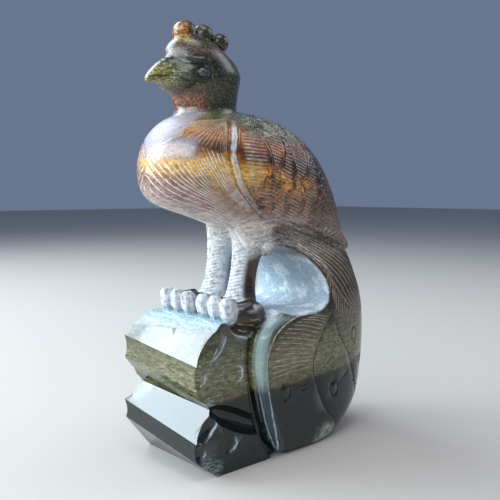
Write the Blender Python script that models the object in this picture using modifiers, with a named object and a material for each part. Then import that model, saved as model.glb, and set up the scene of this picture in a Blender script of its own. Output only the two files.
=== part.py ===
"""A jasper peacock on a faceted rock, carved from one piece of stone.

The bird faces -Y, its left side is +X, +Z is up and the rock stands on z = 0.
The forms are overlapping solids that a voxel remesh joins into one skin, which
is then softened, carved along strokes and reduced to a light faceted solid.
"""

import math

import bmesh
import bpy
import numpy as np
from mathutils import Matrix, Vector
from mathutils.bvhtree import BVHTree
from mathutils.kdtree import KDTree

MM = 0.001

# Rock
ROCK_TOP = 61.0 * MM
ROCK_WIDTH = 46.0 * MM
ROCK_OFFSET = -1.0 * MM
ROCK_REACH = 48.0 * MM
NOTCH_WIDTH = 5.2 * MM
NOTCH_DEPTH = 2.0 * MM
SCOOP_DEPTH = 4.6 * MM
FOOT_SCOOP_WIDTH = 19.0 * MM
FOOT_SCOOP_DROP = 6.5 * MM

# Bird
LEG_LENGTH = 31.0 * MM
LEG_DIAMETER = 11.4 * MM
LEG_SPACING = 18.0 * MM
LEG_Y = -9.0 * MM
BODY_FRONT = -50.0 * MM
BODY_LENGTH = 112.0 * MM
BODY_DEPTH = 54.0 * MM
BODY_WIDTH = 54.0 * MM
NECK_DIAMETER = 26.5 * MM
NECK_LENGTH = 12.5 * MM
NECK_Y = -23.5 * MM
HEAD_DIAMETER = 29.0 * MM
HEAD_LEAD = 2.0 * MM
BEAK_LENGTH = 9.2 * MM
KNOB_DIAMETERS = (9.4 * MM, 8.6 * MM, 8.2 * MM)
CREST_LEAD = 0.39
CREST_LEVELS = (1.12, 1.13, 0.985)
EYE_DIAMETER = 5.2 * MM

# Claws
TOE_WIDTH = 6.6 * MM
TOE_HEIGHT = 10.2 * MM
TOE_LENGTH = 7.6 * MM
TOE_Y = -27.0 * MM
TOE_LEAN = 0.06
TOE_PITCH = 7.6 * MM

# Tail
TAIL_INSET = 1.0 * MM
TAIL_WIDTH = BODY_WIDTH - 2 * TAIL_INSET
TAIL_REAR = BODY_FRONT + BODY_LENGTH
LOBE_TOP = ROCK_TOP
RIM_WIDTH = 4.4 * MM
VALLEY_WIDTH = 4.0 * MM
VALLEY_DEPTH = 3.2 * MM

# Opening behind the legs
HOLLOW_BACK = 25.0 * MM
HOLLOW_FRONT = -4.5 * MM
HOLLOW_FLARE = 1.07

# Carving
GROOVE_WIDTH = 2.1 * MM
GROOVE_DEPTH = 0.9 * MM
RIDGE_WIDTH = 3.6 * MM
RIDGE_HEIGHT = 0.9 * MM
EYE_RING_DIAMETER = 6.0 * MM
FLUTES = 11
SCALE_LENGTH = 7.6 * MM
SCALE_WIDTH = 13.5 * MM

# Fineness of the model
VOXEL = 0.7 * MM
ROUNDS = 4
TRIANGLES = 9400

BELLY_Z = ROCK_TOP + LEG_LENGTH
BACK_Z = BELLY_Z + BODY_DEPTH
HEAD_Z = BACK_Z + NECK_LENGTH
SIDES = (-1, 1)


def smooth_through(points, count):
    """Points along a Catmull-Rom curve through the given ones, in any number of dimensions."""
    given = np.array(points, float)
    padded = np.vstack([2 * given[0] - given[1], given, 2 * given[-1] - given[-2]])
    result = []
    for place in np.linspace(0, len(given) - 1, count):
        first = min(int(place), len(given) - 2)
        t = place - first
        p0, p1, p2, p3 = padded[first:first + 4]
        result.append(0.5 * (2 * p1 + (p2 - p0) * t + (2 * p0 - 5 * p1 + 4 * p2 - p3) * t ** 2
                             + (3 * p1 - p0 - 3 * p2 + p3) * t ** 3))
    return np.array(result)


def mesh_object(name, bm):
    """A new object from a bmesh, with its faces turned outwards."""
    bmesh.ops.recalc_face_normals(bm, faces=bm.faces)
    if bm.calc_volume(signed=True) < 0:
        bmesh.ops.reverse_faces(bm, faces=bm.faces)
    mesh = bpy.data.meshes.new(name)
    bm.to_mesh(mesh)
    bm.free()
    made = bpy.data.objects.new(name, mesh)
    bpy.context.scene.collection.objects.link(made)
    return made


def ellipsoid(name, centre, radii, pitch=0.0, rings=24):
    """An ellipsoid, pitched about the X axis."""
    bm = bmesh.new()
    bmesh.ops.create_uvsphere(bm, u_segments=2 * rings, v_segments=rings, radius=1.0)
    place = Matrix.Translation(centre) @ Matrix.Rotation(pitch, 4, "X")
    bm.transform(place @ Matrix.Diagonal((*radii, 1.0)))
    return mesh_object(name, bm)


def loft(name, rings):
    """A closed skin through rings of equally many points, with a flat face at each end."""
    bm = bmesh.new()
    rows = [[bm.verts.new(point) for point in ring] for ring in rings]
    for row, above in zip(rows, rows[1:]):
        for i, vertex in enumerate(row):
            follow = (i + 1) % len(row)
            bm.faces.new((vertex, row[follow], above[follow], above[i]))
    bm.faces.new(rows[0])
    bm.faces.new(rows[-1])
    return mesh_object(name, bm)


def tube(name, points, diameters, sides=16):
    """A round bar along a path that stays roughly in one plane, with a diameter for each point."""
    path = [Vector(point) for point in points]
    rings = []
    across = None
    for i, place in enumerate(path):
        along = (path[min(i + 1, len(path) - 1)] - path[max(i - 1, 0)]).normalized()
        if across is None:
            across = along.orthogonal()
        across = (across - along * across.dot(along)).normalized()
        up = along.cross(across)
        radius = float(diameters[i]) / 2
        rings.append([place + radius * (math.cos(a) * across + math.sin(a) * up)
                      for a in np.linspace(0, 2 * math.pi, sides, endpoint=False)])
    return loft(name, rings)


# The rock's outline at its far and its near end, seen from the side: how far forward, as a share of
# the reach, and how high, as a share of the top
ROCK_OUTLINES = (
    ((0.0, 1.0), (0.72, 0.99), (0.91, 0.90), (0.99, 0.84), (0.99, 0.68), (0.90, 0.59),
     (0.85, 0.50), (1.00, 0.38), (0.99, 0.25), (0.75, 0.0), (0.0, 0.0)),
    ((0.0, 1.0), (0.62, 1.0), (0.67, 0.96), (0.865, 0.75), (0.86, 0.59), (0.81, 0.52),
     (0.70, 0.44), (0.87, 0.255), (0.86, 0.125), (0.66, 0.0), (0.0, 0.0)),
)


def rock_corner(across, index):
    """A corner of the rock's outline, from its far end, 0, to its near end, 1."""
    far, near = ROCK_OUTLINES[0][index], ROCK_OUTLINES[1][index]
    forward = far[0] + across * (near[0] - far[0])
    high = far[1] + across * (near[1] - far[1])
    return Vector((ROCK_OFFSET + (across - 0.5) * ROCK_WIDTH, -forward * ROCK_REACH, high * ROCK_TOP))


def rock():
    """Two faceted bars across the front, one above the other, which lean towards the near end."""
    return loft("rock", [[rock_corner(across, i) for i in range(len(ROCK_OUTLINES[0]))]
                         for across in np.linspace(0, 1, 13)])


# The lens-shaped cuts on the corners of an end face: the outline's corner above each, and the cut's
# width and depth as shares of the notch's
NOTCHES = ((2, 1.0, 1.0), (3, 0.55, 0.7), (6, 1.0, 1.0), (7, 0.5, 0.7))


def rock_cutters():
    """Lens-shaped cuts on the corners of the bars, a scoop between the bars and one under each foot."""
    cutters = []
    for end in (0, 1):
        side = SIDES[end]
        for first, wide, deep in NOTCHES:
            start, stop = rock_corner(end, first), rock_corner(end, first + 1)
            along = stop - start
            inwards = Vector((0, -along.z, along.y)).normalized()
            out = NOTCH_DEPTH * deep
            middle = start.lerp(stop, 0.5) + Vector((0.9 * out * side, 0, 0))
            middle += 0.1 * wide * NOTCH_WIDTH * inwards
            radii = (1.9 * out, 0.53 * along.length, wide * NOTCH_WIDTH)
            cutters.append(ellipsoid("notch_cutter", middle, radii, math.atan2(along.z, along.y), 20))
        start, stop = rock_corner(end, 6), Vector((0, -0.22 * ROCK_REACH, 0.24 * ROCK_TOP))
        along = stop - start
        middle = start.lerp(stop, 0.5)
        middle.x = start.x + 0.2 * SCOOP_DEPTH * side
        radii = (1.2 * SCOOP_DEPTH, 0.62 * math.hypot(along.y, along.z), SCOOP_DEPTH)
        cutters.append(ellipsoid("scoop_cutter", middle, radii, math.atan2(along.z, along.y), 20))
        under_foot = Vector((start.x + 0.1 * FOOT_SCOOP_DROP * side, -0.36 * ROCK_REACH, ROCK_TOP))
        radii = (0.55 * FOOT_SCOOP_DROP, FOOT_SCOOP_WIDTH / 2, FOOT_SCOOP_DROP)
        cutters.append(ellipsoid("scoop_cutter", under_foot, radii, math.radians(-4), 20))
    return cutters


# Along the body: share of its length from the breast, the underside and the top as shares of its
# depth, the width as a share of its width, and the level of the widest line
BODY_RIBS = (
    (0.000, 0.47, 0.49, 0.02, 0.5),
    (0.012, 0.355, 0.64, 0.29, 0.5),
    (0.045, 0.285, 0.79, 0.55, 0.5),
    (0.110, 0.23, 0.91, 0.80, 0.5),
    (0.200, 0.175, 0.96, 0.95, 0.48),
    (0.320, 0.09, 0.98, 1.00, 0.46),
    (0.450, 0.01, 0.97, 1.00, 0.46),
    (0.570, -0.05, 0.91, 0.96, 0.44),
    (0.680, -0.09, 0.79, 0.86, 0.42),
    (0.780, -0.12, 0.59, 0.66, 0.40),
    (0.870, -0.14, 0.34, 0.42, 0.42),
    (0.940, -0.16, 0.09, 0.22, 0.45),
    (1.000, -0.17, -0.12, 0.07, 0.5),
)
BODY_SQUARENESS = 2.15


def body():
    """The egg-shaped body with the folded wings, lofted along its length."""
    rings = []
    for along, low, high, wide, level in smooth_through(BODY_RIBS, 56):
        y = BODY_FRONT + along * BODY_LENGTH
        bottom = BELLY_Z + low * BODY_DEPTH
        top = BELLY_Z + high * BODY_DEPTH
        middle = bottom + level * (top - bottom)
        rings.append(rib(y, bottom, middle, top, max(wide, 0.01) * BODY_WIDTH / 2))
    return loft("body", rings)


def rib(y, bottom, middle, top, half_width, points=64):
    """One upright section of the body."""
    ring = []
    for angle in np.linspace(0, 2 * math.pi, points, endpoint=False):
        c, s = math.cos(angle), math.sin(angle)
        reach = top - middle if s > 0 else middle - bottom
        x = half_width * math.copysign(abs(c) ** (2 / BODY_SQUARENESS), c)
        z = middle + reach * math.copysign(abs(s) ** (2 / BODY_SQUARENESS), s)
        ring.append((x, y, z))
    return ring


# Up the neck: share of its length above the back, its middle back from the neck's as a share of its
# radius, and its depth and width shares
NECK_SLICES = (
    (-1.00, 0.20, 1.12, 1.00),
    (-0.31, 0.16, 1.04, 0.90),
    (-0.06, 0.16, 0.99, 0.84),
    (0.17, 0.13, 1.03, 0.88),
    (0.48, 0.06, 1.12, 0.96),
)

# Up the head, from its middle, in shares of its radius: height, middle backwards, half depth, half width
HEAD_SLICES = (
    (-0.23, 0.15, 1.10, 0.95),
    (0.00, 0.17, 1.12, 0.97),
    (0.235, 0.13, 1.07, 0.93),
    (0.44, 0.05, 1.01, 0.86),
    (0.655, -0.06, 0.85, 0.75),
    (0.835, -0.14, 0.66, 0.61),
    (0.98, -0.20, 0.43, 0.42),
    (1.06, -0.24, 0.22, 0.22),
    (1.085, -0.24, 0.06, 0.06),
)

# Along the beak, from the face to its tip: share of its length, height above the head's middle, and
# half height and half width, all in shares of the head's radius
BEAK_SLICES = (
    (-0.60, 0.02, 0.42, 0.58),
    (-0.20, 0.02, 0.40, 0.50),
    (0.18, 0.01, 0.32, 0.40),
    (0.52, -0.08, 0.235, 0.29),
    (0.80, -0.18, 0.15, 0.19),
    (0.95, -0.25, 0.085, 0.11),
    (1.00, -0.27, 0.03, 0.04),
)


def neck_and_head():
    """The neck and the skull as one loft, the cheeks and the beak."""
    head = Vector((0, NECK_Y - HEAD_LEAD, HEAD_Z))
    r = HEAD_DIAMETER / 2
    thick = NECK_DIAMETER / 2
    slices = [(BACK_Z + up * NECK_LENGTH, NECK_Y + back * thick, deep * thick, wide * thick)
              for up, back, deep, wide in NECK_SLICES]
    slices += [(head.z + up * r, head.y + back * r, deep * r, wide * r) for up, back, deep, wide in HEAD_SLICES]
    rings = [oval((0, y, z), (wide, 0, 0), (0, deep, 0)) for z, y, deep, wide in smooth_through(slices, 40)]
    pieces = [
        loft("skull", rings),
        ellipsoid("face", head + Vector((0, -0.50 * r, -0.12 * r)), (0.82 * r, 0.66 * r, 0.46 * r),
                  math.radians(8)),
    ]
    rings = []
    for share, up, high, wide in smooth_through(BEAK_SLICES, 24):
        centre = head + Vector((0, -r - share * BEAK_LENGTH, up * r))
        rings.append(oval(centre, (wide * r, 0, 0), (0, 0, high * r)))
    pieces.append(loft("beak", rings))
    return pieces


def oval(centre, across, up, points=48):
    """An oval ring round its middle, from its two half axes."""
    centre, across, up = Vector(centre), Vector(across), Vector(up)
    return [centre + math.cos(a) * across + math.sin(a) * up
            for a in np.linspace(0, 2 * math.pi, points, endpoint=False)]


def crest_centres():
    """The middle of each knob: they touch in a row along the middle of the skull."""
    r = HEAD_DIAMETER / 2
    y = NECK_Y - HEAD_LEAD - CREST_LEAD * r
    centres = []
    for i, diameter in enumerate(KNOB_DIAMETERS):
        if i:
            y += 0.95 * (KNOB_DIAMETERS[i - 1] + diameter) / 2
        centres.append(Vector((0, y, HEAD_Z + CREST_LEVELS[i] * r)))
    return centres


def crest():
    """Three round knobs in a row on a low comb."""
    centres = crest_centres()
    pieces = [ellipsoid("knob", centre, (0.55 * d, d / 2, d / 2)) for centre, d in zip(centres, KNOB_DIAMETERS)]
    comb = [centre - Vector((0, 0, 0.45 * d)) for centre, d in zip(centres, KNOB_DIAMETERS)]
    pieces.append(tube("comb", smooth_through(comb, 9), [0.55 * KNOB_DIAMETERS[-1]] * 9))
    return pieces


# Down a leg: out from the middle and forwards in shares of the spacing and the leg length, height in
# shares of the leg length above the rock, and the diameter share
LEG_STATIONS = (
    (0.42, 0.20, 1.26, 2.3),
    (0.50, 0.10, 0.94, 1.30),
    (0.50, 0.03, 0.62, 1.0),
    (0.50, -0.02, 0.34, 1.05),
    (0.525, -0.065, 0.10, 1.35),
    (0.55, -0.13, -0.13, 1.9),
)


def leg(side):
    """One leg, flaring into the belly above and into the foot below."""
    stations = smooth_through(LEG_STATIONS, 24)
    path = [(side * out * LEG_SPACING, LEG_Y + back * LEG_LENGTH, ROCK_TOP + high * LEG_LENGTH)
            for out, back, high, _ in stations]
    return tube("leg", path, stations[:, 3] * LEG_DIAMETER, 28)


# A claw from its tip up: share of its height, its width and its length forwards as shares
CLAW = ((0.0, 0.50, 0.50), (0.10, 0.72, 0.70), (0.32, 0.94, 0.92), (0.60, 1.0, 1.0), (0.82, 0.92, 0.92),
        (1.0, 0.45, 0.5))
CLAW_SQUARENESS = 2.2
CLAW_FACETS = 7


def squarish(angle, power):
    """A point on a unit oval that is squarer the higher the power."""
    c, s = math.cos(angle), math.sin(angle)
    return math.copysign(abs(c) ** (2 / power), c), math.copysign(abs(s) ** (2 / power), s)


def foot(side):
    """The mound of a foot with three blunt claws in a row, their tips down on the rock."""
    x = side * (LEG_SPACING + TOE_PITCH) / 2
    mound = Vector((x, LEG_Y - 0.55 * LEG_DIAMETER, ROCK_TOP + 0.1 * TOE_HEIGHT))
    heel = mound + Vector((side * 0.22 * LEG_DIAMETER, 0.3 * LEG_DIAMETER, -0.04 * TOE_HEIGHT))
    pieces = [
        ellipsoid("foot", mound, (1.0 * LEG_DIAMETER, 0.8 * LEG_DIAMETER, 0.55 * TOE_HEIGHT)),
        ellipsoid("heel", heel, (0.66 * LEG_DIAMETER, 0.70 * LEG_DIAMETER, 0.60 * TOE_HEIGHT)),
    ]
    angles = np.linspace(0, 2 * math.pi, CLAW_FACETS, endpoint=False)
    for i in (-1, 0, 1):
        middle = x + i * TOE_PITCH
        front = TOE_Y + TOE_LEAN * middle
        rings = []
        for level, wide, deep in CLAW:
            z = ROCK_TOP + (level - 0.1) * TOE_HEIGHT
            y = front + 0.18 * TOE_LENGTH * (1 - level)
            half_wide, half_deep = wide * TOE_WIDTH / 2, deep * TOE_LENGTH / 2
            flat = [squarish(a, CLAW_SQUARENESS) for a in angles]
            rings.append([(middle + half_wide * c, y + half_deep * d, z) for c, d in flat])
        pieces.append(loft("claw", rings))
        toe = [(middle, front + 0.35 * TOE_LENGTH, ROCK_TOP + 0.45 * TOE_HEIGHT),
               (0.85 * middle + 0.15 * x, LEG_Y - 0.45 * LEG_DIAMETER, ROCK_TOP + 0.42 * TOE_HEIGHT)]
        pieces.append(tube("toe", toe, [0.6 * TOE_WIDTH, TOE_WIDTH]))
    return pieces


# Up the tail: height in shares of the height of its foot, front and rear edges as shares of the
# distance from the origin to the rear, and the width share
TAIL_SLICES = (
    (0.00, 0.03, 0.69, 0.84),
    (0.035, -0.02, 0.72, 0.91),
    (0.085, -0.07, 0.78, 0.95),
    (0.15, -0.12, 0.855, 0.975),
    (0.23, -0.145, 0.925, 0.99),
    (0.35, -0.185, 0.975, 1.00),
    (0.58, -0.235, 1.02, 1.00),
    (0.75, -0.245, 1.03, 1.00),
    (0.90, -0.20, 1.02, 1.00),
    (1.00, -0.10, 1.00, 0.98),
    (1.10, 0.06, 0.965, 0.95),
    (1.25, 0.02, 0.91, 0.90),
    (1.40, -0.055, 0.85, 0.80),
    (1.56, -0.08, 0.70, 0.64),
)
TAIL_BOXINESS = (9.0, 2.9)


def tail():
    """The train, which sweeps down from the body behind the rock, lofted upwards."""
    rings = []
    for level, front, rear, wide in smooth_through(TAIL_SLICES, 44):
        rings.append(slice_ring(level * LOBE_TOP, front * TAIL_REAR, rear * TAIL_REAR, wide * TAIL_WIDTH / 2))
    return loft("tail", rings)


def slice_ring(z, front, rear, half_width, points=72):
    """One level section of the tail, boxy in front and round behind."""
    widest = front + 0.38 * (rear - front)
    ring = []
    for angle in np.linspace(0, 2 * math.pi, points, endpoint=False):
        c, s = math.cos(angle), math.sin(angle)
        power = TAIL_BOXINESS[1] if s > 0 else TAIL_BOXINESS[0]
        reach = rear - widest if s > 0 else widest - front
        ring.append((half_width * math.copysign(abs(c) ** (2 / power), c),
                     widest + reach * math.copysign(abs(s) ** (2 / power), s), z))
    return ring


# The opening behind the legs, as seen from the side, in shares of its length from the leg and of
# the leg length above the rock top
HOLLOW_OUTLINE = (
    (0.00, 0.26), (0.0, 0.58), (0.08, 0.81), (0.28, 0.90), (0.60, 0.78), (0.88, 0.54), (1.02, 0.31),
    (1.00, 0.13), (0.85, 0.03), (0.58, 0.0), (0.28, 0.02), (0.07, 0.10),
)


def hollow():
    """The cutter for the opening behind the legs: it runs right through and flares to both sides."""
    half = 0.57 * BODY_WIDTH
    length = HOLLOW_BACK - HOLLOW_FRONT
    loop = smooth_through(HOLLOW_OUTLINE + HOLLOW_OUTLINE[:1], 45)[:-1]
    rings = []
    for x in np.linspace(-half, half, 21):
        flare = 1 + (HOLLOW_FLARE - 1) * (abs(x) / half) ** 3
        rings.append([(x, HOLLOW_FRONT + back * length * flare, ROCK_TOP + (0.46 + (up - 0.46) * flare) * LEG_LENGTH)
                      for back, up in loop])
    return loft("hollow_cutter", rings)


# The front and top edge of the tail's side, seen from the side, as shares of the tail's reach and
# of the height of its foot, and the width of its rim as a share of the rim's width
RIM = ((0.10, 0.005, 0.15), (0.02, 0.02, 0.5), (-0.05, 0.09, 0.9), (-0.11, 0.19, 1.0), (-0.16, 0.33, 1.0),
       (-0.205, 0.52, 1.0), (-0.232, 0.70, 1.1), (-0.205, 0.86, 1.1), (-0.14, 0.945, 0.95), (-0.06, 0.985, 0.8),
       (0.07, 1.0, 0.55), (0.26, 1.0, 0.4))


def tail_half_width(level):
    """Half the tail's width at a height, given as a share of the height of its foot."""
    levels, wides = np.array(TAIL_SLICES)[:, (0, 3)].T
    return np.interp(level, levels, wides) * TAIL_WIDTH / 2


def rim_points(side, out, shift):
    """Points along the rim of the tail's side, moved forwards out of the tail by a share of its width."""
    flat = smooth_through(RIM, 48)
    line = flat[:, :2] * (TAIL_REAR, LOBE_TOP)
    step = np.gradient(line, axis=0)
    normal = np.stack([-step[:, 1], step[:, 0]], 1) / np.linalg.norm(step, axis=1)[:, None]
    moved = line + shift * RIM_WIDTH * flat[:, 2:] * normal
    return [Vector((side * x, y, z)) for x, (y, z) in zip(out(flat[:, 1]), moved)], flat[:, 2] * RIM_WIDTH


def rim(side):
    """A raised round edge on the tail's side."""
    path, widths = rim_points(side, lambda level: tail_half_width(level) - 0.3 * RIM_WIDTH, -0.5)
    return tube("rim", path, widths, 20)


def valley(side):
    """A round cutter that parts the rock from the rim of the tail."""
    out = ROCK_OFFSET * side + ROCK_WIDTH / 2 + VALLEY_WIDTH / 2 - VALLEY_DEPTH
    path, _ = rim_points(side, lambda level: np.full(len(level), out), 0.0)
    step = [path[i + 1] - path[i] for i in range(36)]
    ahead = [Vector((0, -d.z, d.y)).normalized() * (0.52 * VALLEY_WIDTH) for d in step]
    return tube("valley_cutter", [place + move for place, move in zip(path, ahead)], [VALLEY_WIDTH] * 36, 18)


# The tip of a folded wing, from the wing to its end: along the body from its front, up from the belly
# and out from the middle, as shares of the body's length, depth and half width, and its half width
WING_TIP = ((0.58, 0.20, 0.60, 0.6), (0.68, 0.12, 0.62, 0.95), (0.77, 0.05, 0.60, 1.0),
            (0.83, -0.02, 0.56, 0.85), (0.865, -0.075, 0.53, 0.55))
TIP_WIDTH = 13.0 * MM
TIP_THICKNESS = 4.6 * MM


def wing_tip(side):
    """The flat blunt end of a folded wing, which stands out over the tail."""
    rings = []
    for along, up, out, wide in smooth_through(WING_TIP, 14):
        centre = Vector((side * out * BODY_WIDTH / 2, BODY_FRONT + along * BODY_LENGTH,
                         BELLY_Z + up * BODY_DEPTH))
        thin = Vector((side * 0.72, 0.45, 0.52)).normalized() * TIP_THICKNESS / 2
        flat = Vector((-side * 0.62, 0.10, 0.78))
        flat = (flat - thin.normalized() * flat.dot(thin.normalized())).normalized() * wide * TIP_WIDTH / 2
        corners = [squarish(a, 3.2) for a in np.linspace(0, 2 * math.pi, 32, endpoint=False)]
        rings.append([centre + c * flat + d * thin for c, d in corners])
    return loft("wing_tip", rings)


def evaluated(made):
    """Apply the object's modifiers to its mesh."""
    depsgraph = bpy.context.evaluated_depsgraph_get()
    mesh = bpy.data.meshes.new_from_object(made.evaluated_get(depsgraph))
    made.modifiers.clear()
    made.data = mesh


def without(made, cutters):
    """Take the cutters out of a solid."""
    for cutter in cutters:
        modifier = made.modifiers.new("cut", "BOOLEAN")
        modifier.operation = "DIFFERENCE"
        modifier.object = cutter
        evaluated(made)
    return made


def joined(name, pieces):
    """All the pieces in one mesh, not yet one solid."""
    bm = bmesh.new()
    for piece in pieces:
        bm.from_mesh(piece.data)
        bpy.data.objects.remove(piece)
    return mesh_object(name, bm)


def remesh(made, voxel):
    """Join everything that overlaps into one skin of even squares."""
    modifier = made.modifiers.new("skin", "REMESH")
    modifier.mode = "VOXEL"
    modifier.voxel_size = voxel
    evaluated(made)


# Strokes on the side of the body, from the breast in shares of its length and above the belly in
# shares of its depth: the lower edge of the wing, from the shoulder to the tip
WING_EDGE = ((0.262, 0.875), (0.235, 0.75), (0.230, 0.62), (0.240, 0.52), (0.270, 0.415), (0.333, 0.29),
             (0.418, 0.185), (0.516, 0.115), (0.637, 0.04), (0.760, -0.035), (0.880, -0.105), (0.960, -0.13))

# Strokes on the side of the tail, in shares of its reach and of the height of its foot: the lines
# between the long feathers, and the round eyes on them
TAIL_LINES = (
    ((0.45, 1.02), (0.33, 0.88), (0.27, 0.70), (0.28, 0.50), (0.34, 0.34), (0.48, 0.165), (0.62, 0.06)),
    ((0.45, 1.02), (0.55, 0.76), (0.63, 0.60), (0.68, 0.43), (0.80, 0.22)),
    ((0.605, 0.70), (0.63, 0.62), (0.72, 0.56), (0.80, 0.56)),
)
TAIL_EYES = ((0.01, 0.49), (0.47, 0.42), (0.71, 0.80))


def drape_side(skin, side, flat):
    """Throw side-view points (y, z) onto the skin from one side."""
    hits = []
    for y, z in flat:
        hit = skin.ray_cast(Vector((2 * side * BODY_WIDTH, y, z)), Vector((-side, 0, 0)))[0]
        if hit is not None:
            hits.append(hit)
    return hits


def drape_round(skin, centre, angles):
    """Throw points given by bearing from the front and elevation, in degrees, onto the skin."""
    hits = []
    for bearing, rise in np.radians(angles):
        way = Vector((math.sin(bearing) * math.cos(rise), -math.cos(bearing) * math.cos(rise), math.sin(rise)))
        hit = skin.ray_cast(centre, way)[0]
        if hit is not None:
            hits.append(hit)
    return hits


def wing_edge_points():
    flat = smooth_through(WING_EDGE, 90)
    return [(BODY_FRONT + a * BODY_LENGTH, BELLY_Z + b * BODY_DEPTH) for a, b in flat]


def wing_scales():
    """The tips of the wing's feathers: rows of round scallops, each row half a scallop off the last."""
    edge = np.array(wing_edge_points())
    arcs = []
    for row in range(6):
        tip = BODY_FRONT + 0.37 * BODY_LENGTH + row * SCALE_LENGTH
        for place in range(-1, 3):
            down = place + 0.5 * (row % 2) + 0.1 * row
            middle = BELLY_Z + 0.56 * BODY_DEPTH - down * SCALE_WIDTH
            arc = [(tip - SCALE_LENGTH * (1 - math.cos(a)), middle + 0.5 * SCALE_WIDTH * math.sin(a))
                   for a in np.linspace(-1.35, 1.35, 15)]
            inside = [p for p in arc if p[1] > np.interp(p[0], edge[20:, 0], edge[20:, 1]) + 1.5 * MM
                      and p[1] < BELLY_Z + 0.86 * BODY_DEPTH]
            if len(inside) > 4:
                arcs.append(inside)
    return arcs


# The sweep of the breast's feather lines from the bib back under the wing, lowest line first, as
# bearings from the front and elevations in degrees, seen from the middle of the body
BREAST_SWEEP = (
    ((-6, -36), (8, -48), (30, -58), (60, -64), (86, -64)),
    ((-8, -8), (6, -26), (20, -44), (44, -60), (86, -61)),
    ((2, 12), (18, -4), (34, -20), (54, -42), (88, -58)),
    ((18, 18), (31, -1), (45, -18), (62, -38), (92, -55)),
    ((31, 19), (39, 4), (50, -14), (68, -34), (98, -53)),
    ((45, 13), (53, -3), (63, -18), (79, -34), (104, -51)),
)


def breast_flutes(skin, side):
    """Long feather lines that sweep from the bib back under the wing."""
    centre = Vector((0, BODY_FRONT + 0.375 * BODY_LENGTH, BELLY_Z + 0.48 * BODY_DEPTH))
    guides = np.array([smooth_through(line, 40).ravel() for line in BREAST_SWEEP])
    lines = []
    for flat in smooth_through(guides, FLUTES):
        lines.append(drape_round(skin, centre, [(side * a, b) for a, b in flat.reshape(40, 2)[:37]]))
    return lines


# The mouth's line from the beak's tip, back and up from the head's middle in shares of its radius
MOUTH = ((-1.60, -0.26), (-1.30, -0.20), (-0.97, -0.24), (-0.6, -0.25), (-0.28, -0.1))


def ring(centre, diameter, points=20):
    """A circle in the side view."""
    return [(centre[0] + diameter / 2 * math.cos(a), centre[1] + diameter / 2 * math.sin(a))
            for a in np.linspace(0, 2 * math.pi, points)]


def strokes(made):
    """Every carved line as its points, its width and its depth; a ridge has a negative depth."""
    depsgraph = bpy.context.evaluated_depsgraph_get()
    skin = BVHTree.FromObject(made, depsgraph)
    r = HEAD_DIAMETER / 2
    head = (NECK_Y - HEAD_LEAD, HEAD_Z)
    drawn = []
    for side in SIDES:
        edge = drape_side(skin, side, wing_edge_points())
        drawn.append((edge, RIDGE_WIDTH, -RIDGE_HEIGHT))
        for arc in wing_scales():
            drawn.append((drape_side(skin, side, arc), GROOVE_WIDTH, GROOVE_DEPTH))
        for line in breast_flutes(skin, side):
            drawn.append((line, GROOVE_WIDTH, GROOVE_DEPTH))
        for line in TAIL_LINES:
            flat = smooth_through(line, 40) * (TAIL_REAR, LOBE_TOP)
            drawn.append((drape_side(skin, side, flat), GROOVE_WIDTH, GROOVE_DEPTH))
        for place in TAIL_EYES:
            circle = ring((place[0] * TAIL_REAR, place[1] * LOBE_TOP), EYE_RING_DIAMETER)
            drawn.append((drape_side(skin, side, circle), GROOVE_WIDTH, GROOVE_DEPTH))
        eye = (head[0] - 0.35 * r, head[1] - 0.02 * r)
        drawn.append((drape_side(skin, side, ring(eye, EYE_DIAMETER)), 0.8 * GROOVE_WIDTH, GROOVE_DEPTH))
        mouth = [(head[0] + back * r, head[1] + up * r) for back, up in smooth_through(MOUTH, 20)]
        drawn.append((drape_side(skin, side, mouth), 0.8 * GROOVE_WIDTH, 0.8 * GROOVE_DEPTH))
    return drawn


def carve(made, drawn):
    """Press the strokes into the skin, each with a round profile across its width."""
    samples = []
    for points, width, depth in drawn:
        for start, stop in zip(points, points[1:]):
            steps = max(1, int((stop - start).length / (0.25 * width)))
            if (stop - start).length < 4 * width:
                samples += [(start.lerp(stop, i / steps), width, depth) for i in range(steps)]
    tree = KDTree(len(samples))
    for i, (place, _, _) in enumerate(samples):
        tree.insert(place, i)
    tree.balance()
    moves = []
    for vertex in made.data.vertices:
        _, i, distance = tree.find(vertex.co)
        _, width, depth = samples[i]
        share = min(distance / (0.5 * width), 1.0)
        moves.append(vertex.normal * (-depth * 0.5 * (1 + math.cos(math.pi * share))))
    for vertex, move in zip(made.data.vertices, moves):
        vertex.co += move


def stone():
    """The whole carving as overlapping solids in one mesh, and the rock by itself."""
    block, trunk, train = rock(), body(), tail()
    opening = hollow()
    cutters = rock_cutters() + [valley(side) for side in SIDES]
    without(block, cutters)
    without(train, [opening])
    without(trunk, [opening])
    for cutter in cutters + [opening]:
        bpy.data.objects.remove(cutter)
    exact = BVHTree.FromObject(block, bpy.context.evaluated_depsgraph_get())
    pieces = [block, trunk, train] + neck_and_head() + crest()
    for side in SIDES:
        pieces += [leg(side), rim(side), wing_tip(side)] + foot(side)
    return joined("peacock_carving", pieces), exact


def crisp_rock(made, exact):
    """Put the skin's points back on the rock's flat faces, and say which points are soft."""
    soft = []
    for vertex in made.data.vertices:
        place = None
        if vertex.co.y < -0.1 * TAIL_REAR and vertex.co.z < ROCK_TOP:
            place = exact.find_nearest(vertex.co, 0.75 * VOXEL)[0]
        if place is None:
            soft.append(vertex.index)
        else:
            vertex.co = place
    return soft


def soften(made, rounds, soft):
    """Relax the soft points of the skin."""
    group = made.vertex_groups.new(name="soft")
    group.add(soft, 1.0, "REPLACE")
    modifier = made.modifiers.new("soften", "SMOOTH")
    modifier.factor = 0.5
    modifier.iterations = rounds
    modifier.vertex_group = group.name
    evaluated(made)
    made.vertex_groups.clear()


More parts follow.
